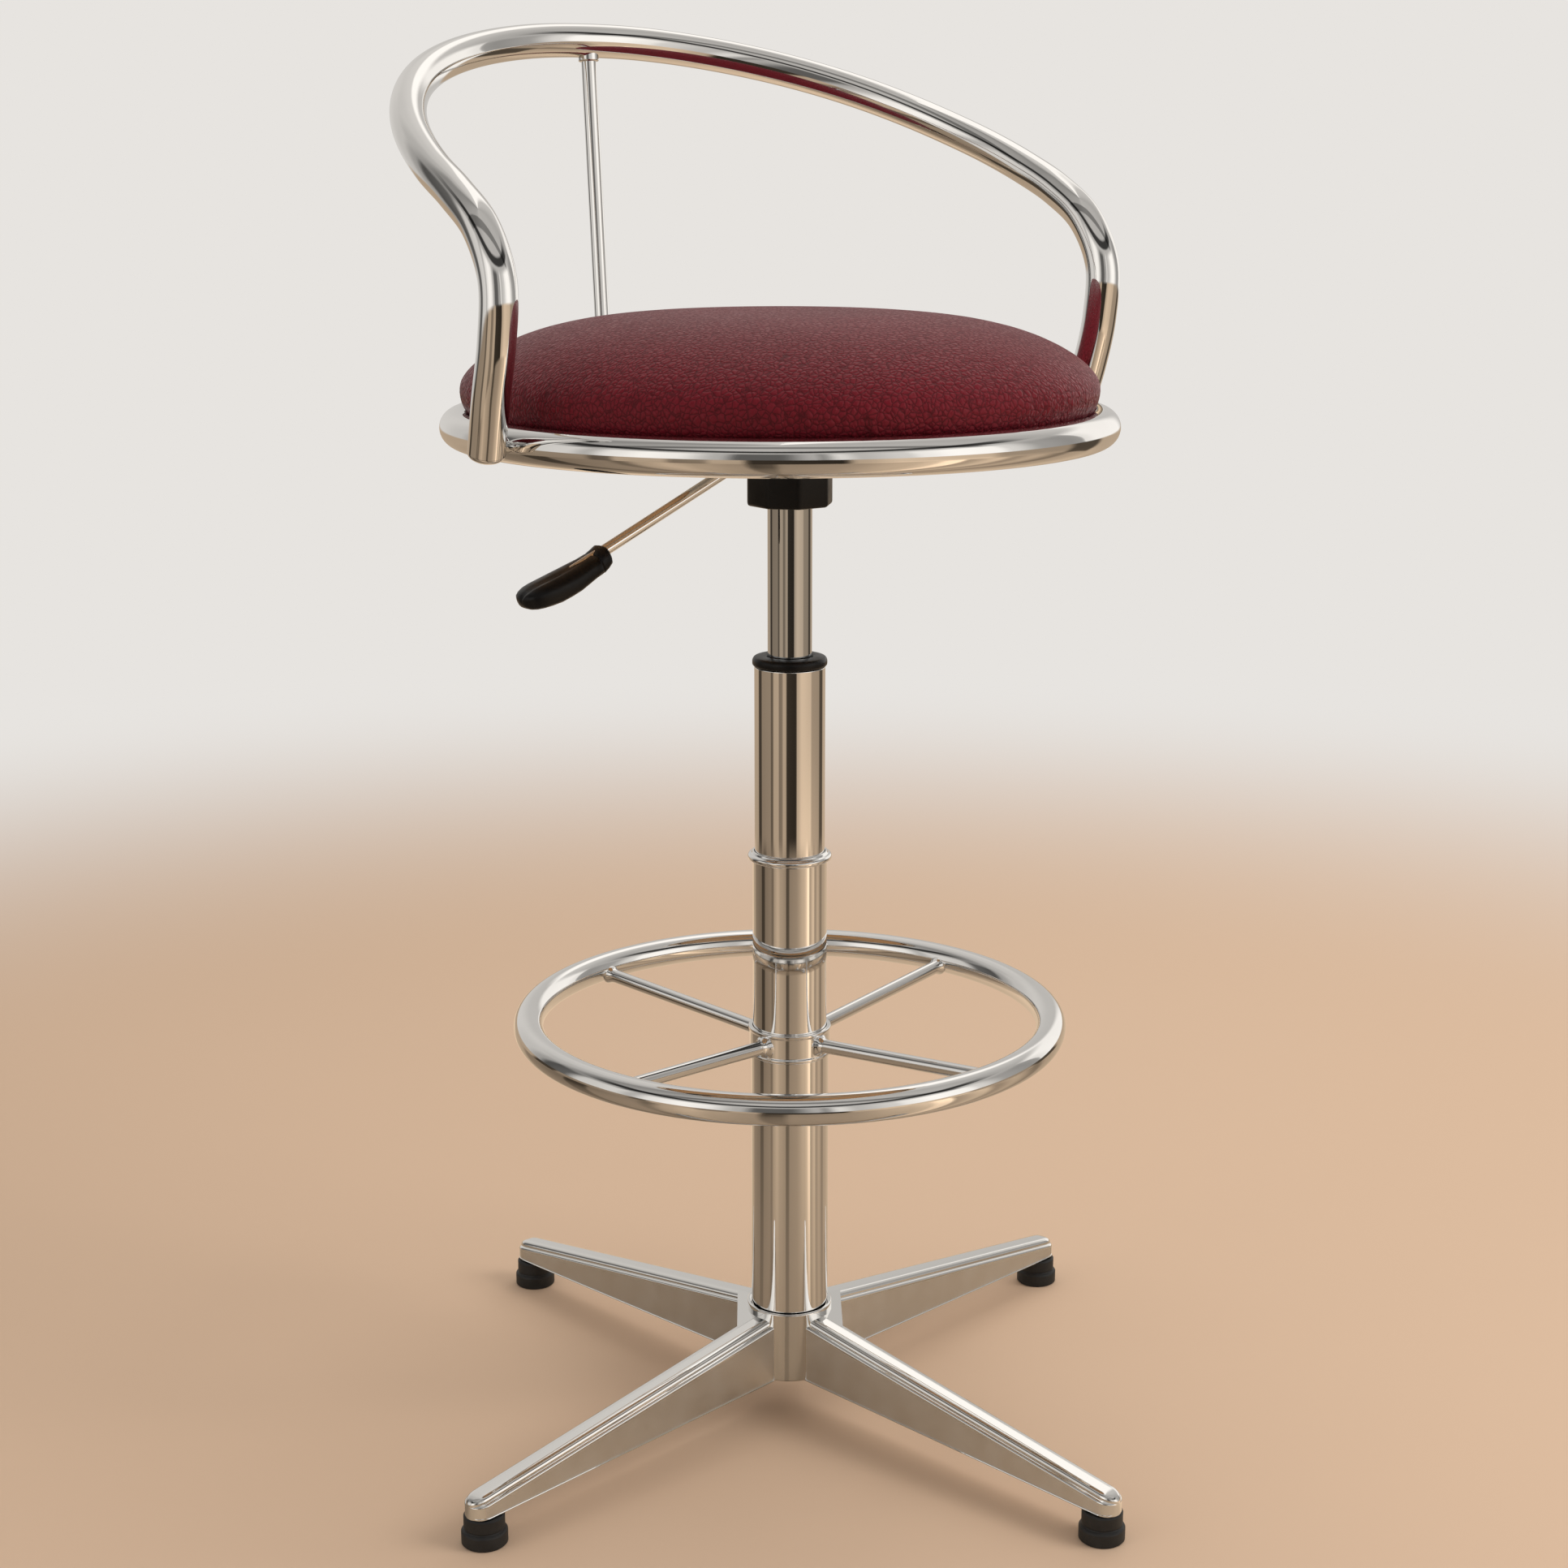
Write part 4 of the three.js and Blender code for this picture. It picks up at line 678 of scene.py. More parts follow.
# Trim ring: a turned chrome ring with a thin flange, sitting on the rim of the middle tube where
# the narrower tube comes out of it.
trim_profile = eased(in_mm((22.8, 378.3), (26.4, 378.3), (27.0, 379.2), (27.0, 380.9), (26.2, 381.9), (24.7, 382.3),
                           (24.0, 383.9), (22.8, 383.9)), 0.5 * mm)
trim_ring = turned_piece("trim_ring_turned", trim_profile, chrome, crease=60.0)
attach(trim_ring, "base")
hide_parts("trim_ring")


# Foot ring: a rimmed sleeve locked on the column by two set screws, four round spokes welded to it
# and to the inside of a bent tube ring, all chrome plated together after welding.
foot_hub_low, foot_hub_high = 247.3 * mm, 266.0 * mm
foot_hub_bore, foot_hub_radius, foot_hub_rim = 24.3 * mm, 26.3 * mm, 27.0 * mm
foot_ring_radius, foot_ring_tube, foot_ring_height = 170 * mm, 9.5 * mm, 270 * mm
spoke_turn = math.radians(14.6)
spoke_radius, spoke_drop = 4.5 * mm, 3 * mm
spoke_count, spoke_bite = 4, 1.2 * mm
set_screw_angles = (30, 75)
set_screw_radius = 2.8 * mm
rim_height, rim_slope = 1.9 * mm, 2.7 * mm

foot_hub_profile = eased([
    (foot_hub_bore, foot_hub_low), (foot_hub_rim, foot_hub_low), (foot_hub_rim, foot_hub_low + rim_height),
    (foot_hub_radius, foot_hub_low + rim_slope), (foot_hub_radius, foot_hub_high - rim_slope),
    (foot_hub_rim, foot_hub_high - rim_height), (foot_hub_rim, foot_hub_high), (foot_hub_bore, foot_hub_high),
], [ease * mm for ease in (0.3, 0.7, 0.6, 0.6, 0.6, 0.6, 0.7, 0.3)])
foot_hub = turned_piece("foot_ring_sleeve", foot_hub_profile, chrome, crease=60.0)
for screw_angle in set_screw_angles:
    hole = drill("screw_hole_tool", set_screw_radius, 20 * mm, 32 * mm, chrome, 24)
    lie = Matrix.Rotation(math.radians(screw_angle), 4, "Z") @ Matrix.Rotation(math.pi / 2, 4, "Y")
    hole.data.transform(Matrix.Translation((0, 0, (foot_hub_low + foot_hub_high) / 2)) @ lie)
    combined(foot_hub, hole, "DIFFERENCE")
smoothed(foot_hub.data, 50)
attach(foot_hub, "base")
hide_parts("foot_ring_hub")

# A layout that bends a round tube into a closed ring.
tube_ring, given = new_group("Tube bent to a ring", "GeometryNodeTree",
                             {"Ring radius": "NodeSocketFloat", "Tube radius": "NodeSocketFloat",
                              "Centre": "NodeSocketVector", "Finish": "NodeSocketMaterial"},
                             "Geometry", "NodeSocketGeometry")
bend_line, section = [
    wired(tube_ring, "GeometryNodeCurvePrimitiveCircle", {"Resolution": count, "Radius": given.outputs[radius]})
    for count, radius in ((192, "Ring radius"), (40, "Tube radius"))
]
bent = wired(tube_ring, "GeometryNodeCurveToMesh", {0: bend_line.outputs[0], 1: section.outputs[0]})
centred = wired(tube_ring, "GeometryNodeTransform", {0: bent.outputs[0], "Translation": given.outputs["Centre"]})
made_real(tube_ring, given, centred.outputs[0])

foot_ring = laid_out("foot_ring_bent", tube_ring, crease=80.0,
                     **{"Ring radius": foot_ring_radius, "Tube radius": foot_ring_tube,
                        "Centre": (0.0, 0.0, foot_ring_height), "Finish": chrome})
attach(foot_ring, "base")
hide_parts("foot_ring")


def swept_mesh(path, radii, sides):
    """Vertices and faces of a round tube along points, with one radius or one per point."""
    path = [Vector(p) for p in path]
    radii = radii if hasattr(radii, "__len__") else [radii] * len(path)
    tangents = [(path[min(k + 1, len(path) - 1)] - path[max(k - 1, 0)]).normalized() for k in range(len(path))]
    side = tangents[0].orthogonal().normalized()
    rings = []
    for point, tangent, radius in zip(path, tangents, radii):
        side = (side - tangent * side.dot(tangent)).normalized()
        up = tangent.cross(side)
        rings.append([point + (side * math.cos(math.tau * k / sides) + up * math.sin(math.tau * k / sides)) * radius
                      for k in range(sides)])
    return lofted(rings)


spoke_height = (foot_hub_low + foot_hub_high) / 2
spoke_start = Vector((foot_hub_radius - spoke_bite, 0, spoke_height))
spoke_end = Vector((foot_ring_radius - spoke_drop, 0, foot_ring_height - spoke_drop))
spoke_start.z += (spoke_end.z - spoke_height) * (spoke_start.x - foot_hub_bore) / (spoke_end.x - foot_hub_bore)
spoke_along = (spoke_end - spoke_start).normalized()
# Distance from each end, in millimetres, and how far the weld stands proud of the spoke.
weld_flare = [(0, 3.4), (1, 3.0), (2, 2.1), (3, 1.25), (4.2, 0.6), (5.6, 0.2), (7, 0.0)]
# The same at the ring's end: share of how far it stands proud, and the distance from the ring's middle.
outer_weld_share, outer_weld_gap = 0.55, 5.2
spoke_path, spoke_radii = [], []
for back, proud in weld_flare:
    spoke_path.append(spoke_start + spoke_along * back * mm)
    spoke_radii.append(spoke_radius + proud * mm)
for back, proud in reversed(weld_flare):
    spoke_path.append(spoke_end - spoke_along * (back + outer_weld_gap) * mm)
    spoke_radii.append(spoke_radius + proud * outer_weld_share * mm)
spoke_path.append(spoke_end)
spoke_radii.append(spoke_radius)
one_spoke = shaped("one_spoke", *swept_mesh(spoke_path, spoke_radii, 28), chrome, crease=60.0)
spokes = laid_out("welded_spokes", around_column, crease=60.0,
                  **{"Piece": one_spoke, "Count": spoke_count, "First turn": spoke_turn, "Finish": chrome})
bpy.data.objects.remove(one_spoke)
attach(spokes, "base")
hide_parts("spoke_1", "spoke_2", "spoke_3", "spoke_4")


# Guide bush: a black moulded sleeve pushed into the top of the stand tube. Its rounded collar
# carries the gas cylinder and keeps the tube's edge covered.
bush_profile = eased(in_mm(
    (14.3, 464.3), (20.7, 464.3), (20.7, 504.3), (22.6, 504.3), (23.8, 505.5), (23.8, 508.6), (22.6, 510.4),
    (18.5, 511.0), (15.4, 511.0), (14.3, 509.8),
), [ease * mm for ease in (0.4, 0.4, 0, 0.8, 1.0, 1.2, 1.4, 1.4, 0.5, 0.5)])

# Moulded black plastic: a fine spark-eroded skin with a soft gloss and faint handling marks.
black_plastic, tree, shader, place = finish_named("Moulded black plastic")
handling = noise(tree, place, 70.0, 5.0)
fed(tree, shader, {"Base Color": mixed(tree, handling, (0.0030, 0.0028, 0.0029, 1.0), (0.0065, 0.0060, 0.0060, 1.0)),
                   "Roughness": varied(tree, handling, 0.27, 0.42),
                   "Normal": bumped(tree, noise(tree, place, 1500.0, 3.0), 0.00005)})
shader.inputs["Specular IOR Level"].default_value = 0.22

guide_bush = turned_piece("guide_bush_moulded", bush_profile, black_plastic, crease=60.0)
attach(guide_bush, "base")
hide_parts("guide_bush")


# Gas cylinder: ground and chrome-plated steel, 28 mm thick, with rounded shoulders. The lift's rod
# goes into its foot and the release pin stands out of its head.
cylinder_profile = eased(in_mm(
    (5.3, 366), (14, 366), (14, 629.5), (4.3, 629.5), (4.3, 616.8), (0, 616.8), (0, 597.5), (12.2, 597.5),
    (12.2, 380), (5.3, 380),
), [0, 1.0 * mm, 1.0 * mm, 0, 0, 0, 0, 0, 0, 0])

# Hard chrome on ground steel: a darker, cooler plate with fine lines along the cylinder.
hard_chrome = lined_chrome("Hard chrome", (0.64, 0.67, 0.70, 1.0), 30.0, 700.0, 0.000006)

gas_cylinder = turned_piece("gas_cylinder_ground", cylinder_profile, hard_chrome)
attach(gas_cylinder, "seat")
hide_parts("gas_cylinder")


# Seat ring and its frame: a bent tube ring, two flat bars welded inside it and a pressed plate
# bolted under them. The ring is chrome plated, the rest zinc plated.
seat_back = 10.5 * mm
seat_ring_radius, seat_ring_tube, seat_ring_height = 199.5 * mm, 11 * mm, 656 * mm
seat_ring = laid_out("seat_ring_bent", tube_ring, crease=80.0,
                     **{"Ring radius": seat_ring_radius, "Tube radius": seat_ring_tube,
                        "Centre": (0.0, seat_back, seat_ring_height), "Finish": chrome})
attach(seat_ring, "seat")
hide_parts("seat_ring")
refinished(fastener_steel, "cross_bar_1", "cross_bar_2", "mechanism_plate")

# Seat bolts: hexagon flange bolts at the plate's four corners, made once and set out on a grid.
bolt_spacing = (110 * mm, 90 * mm)
bolt_seat, bolt_end = 644.7 * mm, 662.6 * mm
corner_layout, given = new_group("Copies at four corners", "GeometryNodeTree",
                                 {"Piece": "NodeSocketObject", "Spacing X": "NodeSocketFloat",
                                  "Spacing Y": "NodeSocketFloat", "Finish": "NodeSocketMaterial"},
                                 "Geometry", "NodeSocketGeometry")
corners = wired(corner_layout, "GeometryNodeMeshGrid",
                {"Size X": given.outputs["Spacing X"], "Size Y": given.outputs["Spacing Y"],
                 "Vertices X": 2, "Vertices Y": 2})
copied(corner_layout, given, corners.outputs[0])

# Rings of a bolt: height, half the width across the flats or the radius, and whether it is a hexagon.
bolt_rings = []
for height, across, hexagonal in ((bolt_seat - 4.0 * mm, 4.1 * mm, True), (bolt_seat - 3.7 * mm, 4.6 * mm, True),
                                  (bolt_seat - 1.3 * mm, 4.6 * mm, True), (bolt_seat - 1.2 * mm, 5.5 * mm, False),
                                  (bolt_seat, 5.5 * mm, False), (bolt_seat, 3 * mm, False),
                                  (bolt_end - 0.6 * mm, 3 * mm, False), (bolt_end, 2.5 * mm, False)):
    ring = []
    for k in range(48):
        swing = math.tau * k / 48
        reach = across / math.cos(swing % (math.tau / 6) - math.tau / 12) if hexagonal else across
        ring.append((reach * math.cos(swing), reach * math.sin(swing), height))
    bolt_rings.append(ring)
one_bolt = shaped("one_bolt", *lofted(bolt_rings), fastener_steel, crease=25.0)
seat_bolts = laid_out("seat_bolts_hexagon", corner_layout, crease=25.0,
                      **{"Piece": one_bolt, "Spacing X": bolt_spacing[0], "Spacing Y": bolt_spacing[1],
                         "Finish": fastener_steel})
bpy.data.objects.remove(one_bolt)
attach(seat_bolts, "seat")
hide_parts("seat_bolt_1", "seat_bolt_2", "seat_bolt_3", "seat_bolt_4")


# Socket cover: an eight-sided black moulding clipped up under the plate round the socket, with
# eased edges, a hole for the cylinder and a slot on the sitter's right for the lever.
cover_low, cover_high = 606.2 * mm, 644.7 * mm
cover_flat, cover_wall, cover_floor = 25.5 * mm, 3.2 * mm, 2.5 * mm
cover_sides = 8
slot_half, slot_low = 4.3 * mm, 632.4 * mm
cover_hole_radius = 14.6 * mm


def cover_ring(flat, height):
    corner = flat / math.cos(math.pi / cover_sides)
    swings = [(2 * k + 1) * math.pi / cover_sides for k in range(cover_sides)]
    return [(corner * math.cos(swing), corner * math.sin(swing), height) for swing in swings]


socket_cover = shaped("socket_cover_moulded", *lofted([cover_ring(cover_flat, cover_low),
                                                       cover_ring(cover_flat, cover_high)]), black_plastic)
ease_edges = socket_cover.modifiers.new("Eased edges", "BEVEL")
ease_edges.width, ease_edges.segments, ease_edges.limit_method = 2.3 * mm, 5, "ANGLE"
applied(socket_cover)
slot_plan = [(-40 * mm, -slot_half), (-5 * mm, -slot_half), (-5 * mm, slot_half), (-40 * mm, slot_half)]
for tool in (
    shaped("cover_hollow", *lofted([cover_ring(cover_flat - cover_wall, cover_low + cover_floor),
                                    cover_ring(cover_flat - cover_wall, cover_high + overrun)]), black_plastic),
    drill("cover_hole", cover_hole_radius, cover_low - overrun, cover_low + 2 * overrun, black_plastic, 64),
    shaped("cover_slot", *lofted([[(x, y, height) for x, y in slot_plan]
                                  for height in (slot_low, cover_high + 6 * mm)]), black_plastic),
):
    combined(socket_cover, tool, "DIFFERENCE")
smoothed(socket_cover.data, 24)
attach(socket_cover, "seat")
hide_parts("socket_cover")


# Lever: a chrome-plated rod through the slot, with its toe over the release pin, bent down outside
# the cover, and a black moulded paddle pushed on its end.
lever_height = 637.5 * mm
lever_slope = math.radians(25.1)
lever_rod_radius = 3.5 * mm
pivot_x, pivot_radius = -18.5 * mm, 1.9 * mm
lever_corner = Vector((-32.2 * mm, 0, lever_height))
lever_bend = 8 * mm
lever_slope_length = 140.2 * mm
lever_toe, lever_toe_shoulder = 3 * mm, 2.6 * mm
slope_along = Vector((-math.cos(lever_slope), 0, -math.sin(lever_slope)))
slope_up = Vector((-math.sin(lever_slope), 0, math.cos(lever_slope)))
bend_start, bend_end = lever_corner + Vector((lever_bend, 0, 0)), lever_corner + slope_along * lever_bend
rod_end = lever_corner + slope_along * lever_slope_length
lever_path = [Vector((lever_toe, 0, lever_height)), Vector((lever_toe_shoulder, 0, lever_height)), bend_start]
lever_radii = [lever_rod_radius - 0.5 * mm, lever_rod_radius, lever_rod_radius]
for k in range(1, 9):
    t = k / 8
    lever_path.append(bend_start * (1 - t) ** 2 + lever_corner * 2 * t * (1 - t) + bend_end * t * t)
    lever_radii.append(lever_rod_radius)
lever_path.append(rod_end)
lever_radii.append(lever_rod_radius)
lever_rod = shaped("lever_rod_bent", *swept_mesh(lever_path, lever_radii, 28), chrome, crease=45.0)
pivot_hole = drill("pivot_hole", pivot_radius, -11 * mm, 11 * mm, chrome, 20)
pivot_hole.data.transform(Matrix.Translation((pivot_x, 0, lever_height)) @ Matrix.Rotation(math.pi / 2, 4, "X"))
combined(lever_rod, pivot_hole, "DIFFERENCE")
smoothed(lever_rod.data, 45)
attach(lever_rod, "lever")
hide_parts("lever_rod")

# Paddle stations: share of its length, of its width, of its thickness and of its drop.
paddle_length, paddle_width, paddle_thickness, paddle_drop = 63 * mm, 28 * mm, 15 * mm, 3.5 * mm
paddle_stations = [
    (0, 0.40, 0.52, 0.3), (0.008, 0.52, 0.68, 0.4), (0.03, 0.66, 0.82, 0.5), (0.08, 0.70, 0.85, 0.8),
    (0.135, 0.735, 0.86, 1), (0.143, 0.70, 0.80, 1), (0.152, 0.70, 0.80, 1), (0.160, 0.745, 0.86, 1),
    (0.24, 0.8, 0.84, 1), (0.34, 0.88, 0.9, 1), (0.45, 0.96, 0.96, 1), (0.56, 0.99, 0.99, 0.88),
    (0.68, 1, 1, 0.7), (0.78, 0.97, 0.96, 0.42), (0.86, 0.91, 0.89, 0.2), (0.92, 0.80, 0.78, 0.08),
    (0.96, 0.66, 0.65, 0), (0.985, 0.47, 0.47, 0), (1, 0.2, 0.2, 0),
]
rod_in_paddle = 25.7 * mm
thumb_crease_depth, thumb_crease_side, thumb_crease_width = 0.9 * mm, -0.28, 0.085
paddle_start = rod_end - slope_along * rod_in_paddle
paddle_rings = []
for along_share, width_share, thick_share, drop_share in paddle_stations:
    centre = paddle_start + slope_along * along_share * paddle_length - slope_up * drop_share * paddle_drop
    ring = []
    for k in range(56):
        swing = math.tau * k / 56
        side = math.copysign(abs(math.cos(swing)) ** (2 / 3), math.cos(swing))
        rise = math.copysign(abs(math.sin(swing)) ** (2 / 3), math.sin(swing))
        # A shallow lengthwise crease runs along the thumb face towards the tip.
        crease_fade = max(0.0, min(1.0, (along_share - 0.2) / 0.35)) * (1.0 if rise > 0 else 0.0)
        across_crease = (side - thumb_crease_side) / thumb_crease_width
        crease_dip = thumb_crease_depth * crease_fade * math.exp(-across_crease ** 2)
        ring.append(centre + slope_up * (thick_share * paddle_thickness * rise / 2 - crease_dip)
                    + Vector((0, width_share * paddle_width * side / 2, 0)))
    paddle_rings.append(ring)
lever_paddle = shaped("lever_paddle", *lofted(paddle_rings), black_plastic, crease=50.0)
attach(lever_paddle, "lever")
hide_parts("lever_handle")


# Seat board: a birch plywood disc bolted to the bars. The foam is glued on it, and only the board's
# underside can be seen.
seat_plywood, tree, shader, place = finish_named("Birch plywood")
along_grain = stretched(tree, place, 1.0, 9.0, 9.0)
figure = noise(tree, along_grain, 14.0, 6.0, Distortion=0.6)
fibres = noise(tree, along_grain, 120.0, 4.0)
fed(tree, shader, {"Base Color": mixed(tree, varied(tree, figure), (0.50, 0.33, 0.18, 1.0), (0.66, 0.48, 0.30, 1.0)),
                   "Roughness": varied(tree, fibres, 0.55, 0.75), "Normal": bumped(tree, fibres, 0.0002)})
refinished(seat_plywood, "seat_board")


# Cushion: burgundy leatherette pulled over the foam and stapled under the board. The top is one
# plain crowned panel, drawn in all round where it meets the ring, with no seam in sight.
cushion_radius = 198.4 * mm
cushion_waist, cushion_crown, cushion_foot = 679.5 * mm, 725 * mm, 653.6 * mm
cushion_draw_in = 11 * mm
cushion_start_inset = 4.2 * mm
cushion_cap = 9.0 * mm
crease_share = 0.3
crown_flatness, crown_roundness = 3.5, 1.5
draw_in_shares = [(0.12, 0.3), (0.33, 0.42), (0.55, 0.52), (0.8, 0.66), (0.95, 0.78), (1.0, 1.0)]


def cushion_profile(inset):
    radius, rise = cushion_radius - inset, cushion_crown - cushion_waist - inset
    profile = []
    for k in range(33):
        share = math.sin(math.pi / 2 * k / 32)
        profile.append((radius * share, cushion_waist + rise * (1 - share ** crown_flatness) ** (1 / crown_roundness)))
    for inward, down in draw_in_shares:
        profile.append((radius - inward * cushion_draw_in, cushion_waist - down * (cushion_waist - cushion_foot)))
    profile.append((0, cushion_foot))
    return profile


# Leatherette: a vinyl skin with a pebbled grain, its creases painted darker as painted shade,
# glossier on the pebbles and a faint bloom where the light skims it.
leatherette, tree, shader, place = finish_named("Burgundy leatherette")
wander = wired(tree, "ShaderNodeTexNoise", {"Vector": place, "Scale": 140.0, "Detail": 3.0})
offset = wired(tree, "ShaderNodeVectorMath", {0: wander.outputs["Color"], 1: (0.5, 0.5, 0.5)}, operation="SUBTRACT")
scaled = wired(tree, "ShaderNodeVectorMath", {0: offset.outputs[0], "Scale": 0.0032}, operation="SCALE")
warped = wired(tree, "ShaderNodeVectorMath", {0: place, 1: scaled.outputs[0]}, operation="ADD")
laid = wired(tree, "ShaderNodeMapping", {"Vector": warped.outputs[0], "Rotation": (0.0, 0.0, math.radians(35)),
                                         "Scale": (1.0, 1.45, 1.0)})
pebbles, creases = [
    wired(tree, "ShaderNodeTexVoronoi", {"Vector": laid.outputs[0], "Scale": scale},
          feature="DISTANCE_TO_EDGE").outputs["Distance"] for scale in (250.0, 120.0)
]
pebble_rise = varied(tree, pebbles, 0.0, 1.0, 0.0, 0.30)
crease_rise = varied(tree, creases, 0.0, 1.0, 0.0, 0.12)
fine_rise = worked(tree, "MULTIPLY", noise(tree, place, 1900.0, 2.0), 0.10)
rise = worked(tree, "MULTIPLY_ADD", crease_rise, 0.55, worked(tree, "MULTIPLY_ADD", pebble_rise, 0.75, fine_rise))
dyed = mixed(tree, varied(tree, noise(tree, place, 9.0, 4.0)), (0.128, 0.0055, 0.0115, 1.0),
             (0.160, 0.0078, 0.0158, 1.0))
# The grooves between the pebbles are painted a darker red: painted shade in the creases.
fed(tree, shader, {"Base Color": mixed(tree, varied(tree, pebbles, 0.0, 1.0, 0.0, 0.13),
                                       (0.066, 0.0030, 0.0060, 1.0), dyed),
                   "Roughness": varied(tree, pebble_rise, 0.52, 0.30, 0.0, 1.0),
                   "Normal": bumped(tree, rise, 0.00045)})
shader.inputs["Specular IOR Level"].default_value = 0.17
shader.inputs["Sheen Weight"].default_value = 0.03
shader.inputs["Sheen Roughness"].default_value = 0.4
shader.inputs["Sheen Tint"].default_value = (1.0, 0.62, 0.68, 1.0)

start_profile = cushion_profile(cushion_start_inset)
cushion = turned_piece("cushion_cover", start_profile, leatherette, 160, looped=False, crease=180.0)
cushion.data.transform(Matrix.Translation((0, seat_back, 0)))
cloth_frames = 20
fine_rounds, broad_rounds = 20, 120
remade = cushion.modifiers.new("Even faces", "REMESH")
remade.mode, remade.voxel_size, remade.use_smooth_shade = "VOXEL", 5 * mm, True
applied(cushion)
rest_points = np.array([v.co for v in cushion.data.vertices])
rest_normals = np.array([v.normal for v in cushion.data.vertices])
held = cushion.vertex_groups.new(name="Held")
for vertex in cushion.data.vertices:
    if vertex.co.z < cushion_foot + 3 * mm:
        held.add([vertex.index], 1.0, "REPLACE")
cloth = cushion.modifiers.new("Stuffing", "CLOTH")
cloth.settings.quality = 6
cloth.settings.mass = 0.3
cloth.settings.tension_stiffness = cloth.settings.compression_stiffness = 40
cloth.settings.bending_stiffness = 2.0
cloth.settings.use_pressure = True
cloth.settings.uniform_pressure_force = 4.0
cloth.settings.effector_weights.gravity = 0.0
cloth.settings.vertex_group_mass = "Held"
cloth.collision_settings.use_collision = False
for frame_number in range(1, cloth_frames + 1):
    scene.frame_set(frame_number)
applied(cushion)
moved = np.array([v.co for v in cushion.data.vertices]) - rest_points
swell = np.clip((moved * rest_normals).sum(axis=1), 0, cushion_cap)
# The skin is stretched tight: the pad fills its full size, and of the creases only soft dents stay.
ends = np.array([edge.vertices[:] for edge in cushion.data.edges])
neighbours = np.bincount(ends.ravel(), minlength=len(swell))

def evened(values, rounds):
    for _ in range(rounds):
        nearby = np.bincount(ends[:, 0], values[ends[:, 1]], len(values))
        nearby += np.bincount(ends[:, 1], values[ends[:, 0]], len(values))
        values = (values + nearby / neighbours) / 2
    return values

dents = crease_share * (evened(swell, fine_rounds) - evened(swell, broad_rounds))
final = rest_points + rest_normals * (cushion_start_inset + dents)[:, None]
final[:, 2] = np.maximum(final[:, 2], cushion_foot)
cushion.data.vertices.foreach_set("co", final.ravel())
print("cushion swelled by", swell.mean(), "m on average, dents up to", np.abs(dents).max(), "m")
scene.frame_set(1)
# Soft puckers round the foot, where the skin is gathered under the board.
pucker_depth, pucker_from, pucker_full = 0.45 * mm, 150 * mm, 180 * mm
points = np.array([v.co for v in cushion.data.vertices])
round_angle = np.arctan2(points[:, 1] - seat_back, points[:, 0])
foot_share = np.clip((cushion_waist - points[:, 2]) / (cushion_waist - cushion_foot), 0, 1)
reach = np.hypot(points[:, 0], points[:, 1] - seat_back)
outer_share = np.clip((reach - pucker_from) / (pucker_full - pucker_from), 0, 1)
pleats = (np.sin(round_angle * 41 + 1.7 * np.sin(round_angle * 5)) * 0.6 + np.sin(round_angle * 67 + 0.9) * 0.4)
inward = pucker_depth * pleats * np.sin(foot_share * math.pi) ** 1.5 * outer_share
points[:, 0] -= np.cos(round_angle) * inward
points[:, 1] -= np.sin(round_angle) * inward
cushion.data.vertices.foreach_set("co", points.ravel())
cushion.data.materials.clear()
cushion.data.materials.append(leatherette)
finer = cushion.modifiers.new("Smooth skin", "SUBSURF")
finer.levels = finer.render_levels = 1
applied(cushion)
cushion.data.shade_smooth()
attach(cushion, "seat")
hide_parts("seat_cover", "seat_foam")


# Back rail: one chrome tube bent round the seat, low at the front of the arms and high behind the
# back, its feet plugged with domed caps and welded to the side of the seat ring.
rail_tube = 11 * mm
rail_radius = 223.1 * mm
rail_foot_angle = math.asin(25.2 * mm / rail_radius)
rail_turn = math.pi / 2 + rail_foot_angle
rail_low, rail_rise = 653.7 * mm, 239.8 * mm
# From a foot to the middle of the back: shares of the turn, of the radius and of the rise.
rail_shares = [
    (0, 1, 0), (-0.027, 1.016, 0.131), (-0.049, 1.023, 0.265), (-0.053, 1.022, 0.403), (-0.009, 1.009, 0.519),
    (0.065, 1, 0.595), (0.145, 1, 0.653), (0.227, 1, 0.709), (0.309, 1, 0.761), (0.391, 1, 0.811),
    (0.475, 1, 0.858), (0.559, 1, 0.899), (0.645, 1, 0.934), (0.732, 1, 0.962), (0.82, 1, 0.983),
    (0.908, 1, 0.996),
]


def rail_point(turn_share, radius_share, rise_share):
    bearing = math.pi + rail_foot_angle - turn_share * rail_turn
    reach = radius_share * rail_radius
    return Vector((reach * math.cos(bearing), reach * math.sin(bearing) + seat_back, rail_low + rise_share * rail_rise))


def smooth_path(points, per_span=10):
    """A centripetal curve through the points."""
    points = [Vector(p) for p in points]
    padded = [points[0] * 2 - points[1], *points, points[-1] * 2 - points[-2]]
    path = []
    for k in range(len(points) - 1):
        p0, p1, p2, p3 = padded[k:k + 4]
        d0, d1, d2 = ((b - a).length ** 0.5 for a, b in ((p0, p1), (p1, p2), (p2, p3)))
        start_pull = ((p1 - p0) / d0 - (p2 - p0) / (d0 + d1) + (p2 - p1) / d1) * d1
        end_pull = ((p2 - p1) / d1 - (p3 - p1) / (d1 + d2) + (p3 - p2) / d2) * d1
        for step in range(per_span):
            t = step / per_span
            path.append(p1 * (2 * t ** 3 - 3 * t ** 2 + 1) + start_pull * (t ** 3 - 2 * t ** 2 + t)
                        + p2 * (-2 * t ** 3 + 3 * t ** 2) + end_pull * (t ** 3 - t ** 2))
    path.append(points[-1])
    return path


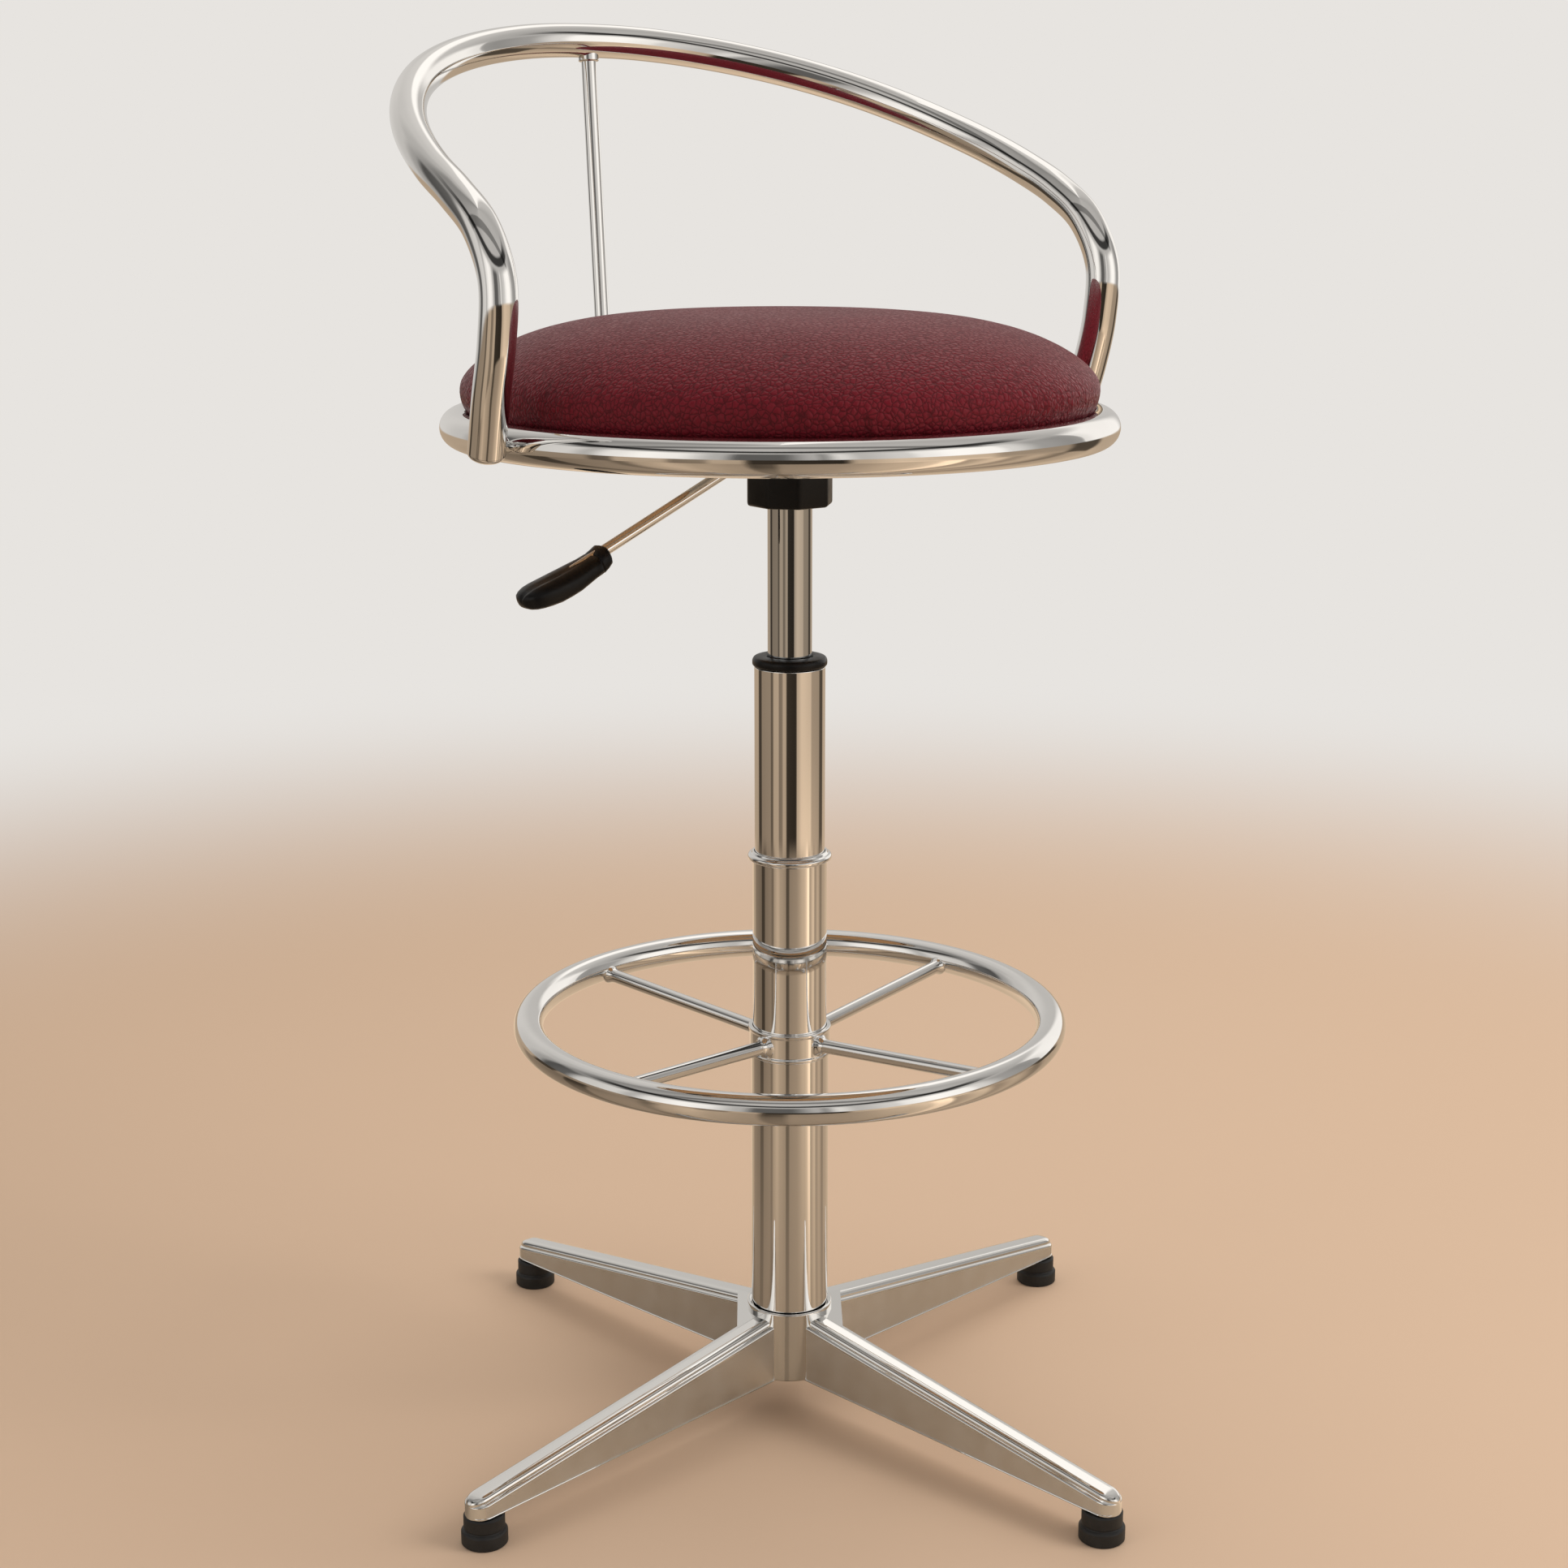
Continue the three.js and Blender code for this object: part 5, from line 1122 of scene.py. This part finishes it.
rail_half = [rail_point(*shares) for shares in rail_shares]
rail_middle = rail_point(1, 1, 1)
rail_other = [Vector((-p.x, p.y, p.z)) for p in reversed(rail_half)]
rail_path = smooth_path([*rail_half, rail_middle, *rail_other])
back_rail = shaped("back_rail_bent", *swept_mesh(rail_path, rail_tube, 40), chrome, crease=60.0)
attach(back_rail, "seat")
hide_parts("back_rail")

rail_foot_along = (rail_path[1] - rail_path[0]).normalized()
plug_profile = [(0, -5.3 * mm)]
for k in range(1, 15):
    swing = math.pi / 2 * k / 14
    plug_profile.append((rail_tube * math.sin(swing), -0.3 * mm - 5 * mm * math.cos(swing)))
plug_profile += [(rail_tube, -0.12 * mm), (rail_tube - 0.35 * mm, 0), (0, 0)]


def set_along(piece, foot, along):
    """Moves a piece from the column's foot to another point, with its axis turned along a direction."""
    turn = Vector((0, 0, 1)).rotation_difference(along).to_matrix().to_4x4()
    piece.data.transform(Matrix.Translation(foot) @ turn)


def mirrored(piece):
    """Takes a piece from the sitter's right over to the left."""
    piece.data.transform(Matrix.Scale(-1, 4, (1, 0, 0)))
    piece.data.flip_normals()


for side_name in ("right", "left"):
    plug = turned_piece(f"rail_plug_{side_name}_domed", plug_profile, chrome, 56, looped=False, crease=50.0)
    set_along(plug, rail_path[0], rail_foot_along)
    if side_name == "left":
        mirrored(plug)
    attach(plug, "seat")
    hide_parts(f"rail_plug_{side_name}")

# Weld between the rail's foot and the ring: a short block whose bead spreads out onto both tubes.
weld_height, weld_half_width, weld_half_depth = 656.6 * mm, 5.0 * mm, 4.6 * mm
weld_inner, weld_outer = seat_ring_radius + 3 * mm, rail_radius - 6 * mm
weld_spread = 0.45
weld_rings = []
for k in range(13):
    t = k / 12
    reach = weld_inner + (weld_outer - weld_inner) * t
    swell = 1.0 + weld_spread * (2 * t - 1) ** 2
    weld_rings.append([(-reach, weld_half_width * swell * math.cos(math.tau * j / 28),
                        weld_height + weld_half_depth * swell * math.sin(math.tau * j / 28)) for j in range(28)])
for side_name in ("right", "left"):
    weld = shaped(f"rail_weld_{side_name}", *lofted(weld_rings), chrome, crease=60.0)
    weld.data.transform(Matrix.Translation((0, seat_back, 0)) @ Matrix.Rotation(rail_foot_angle, 4, "Z"))
    if side_name == "left":
        mirrored(weld)
    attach(weld, "seat")
    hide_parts(f"rail_spacer_{side_name}")


# Strut: a slim chrome bar from the ring, behind the cushion, to the middle of the rail, where a
# flared collar covers the weld.
strut_radius = 5 * mm
strut_foot = Vector((0, 216.9 * mm, seat_ring_height))
strut_along = (rail_middle - strut_foot).normalized()
strut_length = (rail_middle - strut_foot).length
# Distance along the strut, in millimetres, and how far the weld at its foot stands proud of it.
strut_weld = [(4, 1.6), (10, 1.5), (11.5, 0.9), (13, 0.3), (16, 0)]
strut_path = [strut_foot + strut_along * out * mm for out, _ in strut_weld]
strut_path.append(strut_foot + strut_along * (strut_length - 6 * mm))
strut_radii = [strut_radius + proud * mm for _, proud in strut_weld] + [strut_radius]
back_strut = shaped("back_strut_bar", *swept_mesh(strut_path, strut_radii, 32), chrome, crease=60.0)
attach(back_strut, "seat")
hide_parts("back_strut")

collar_bore, collar_radius, collar_low, collar_high = strut_radius - 0.5 * mm, 6.9 * mm, -13.6 * mm, -5.5 * mm
collar_profile = eased([(collar_bore, collar_low), (collar_radius, collar_low), (collar_radius, collar_high),
                        (collar_bore, collar_high)], [0, 1.6 * mm, 0.3 * mm, 0])
strut_collar = turned_piece("strut_collar_flared", collar_profile, chrome, steps=64, crease=70.0)
set_along(strut_collar, rail_middle, strut_along)
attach(strut_collar, "seat")
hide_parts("strut_collar")
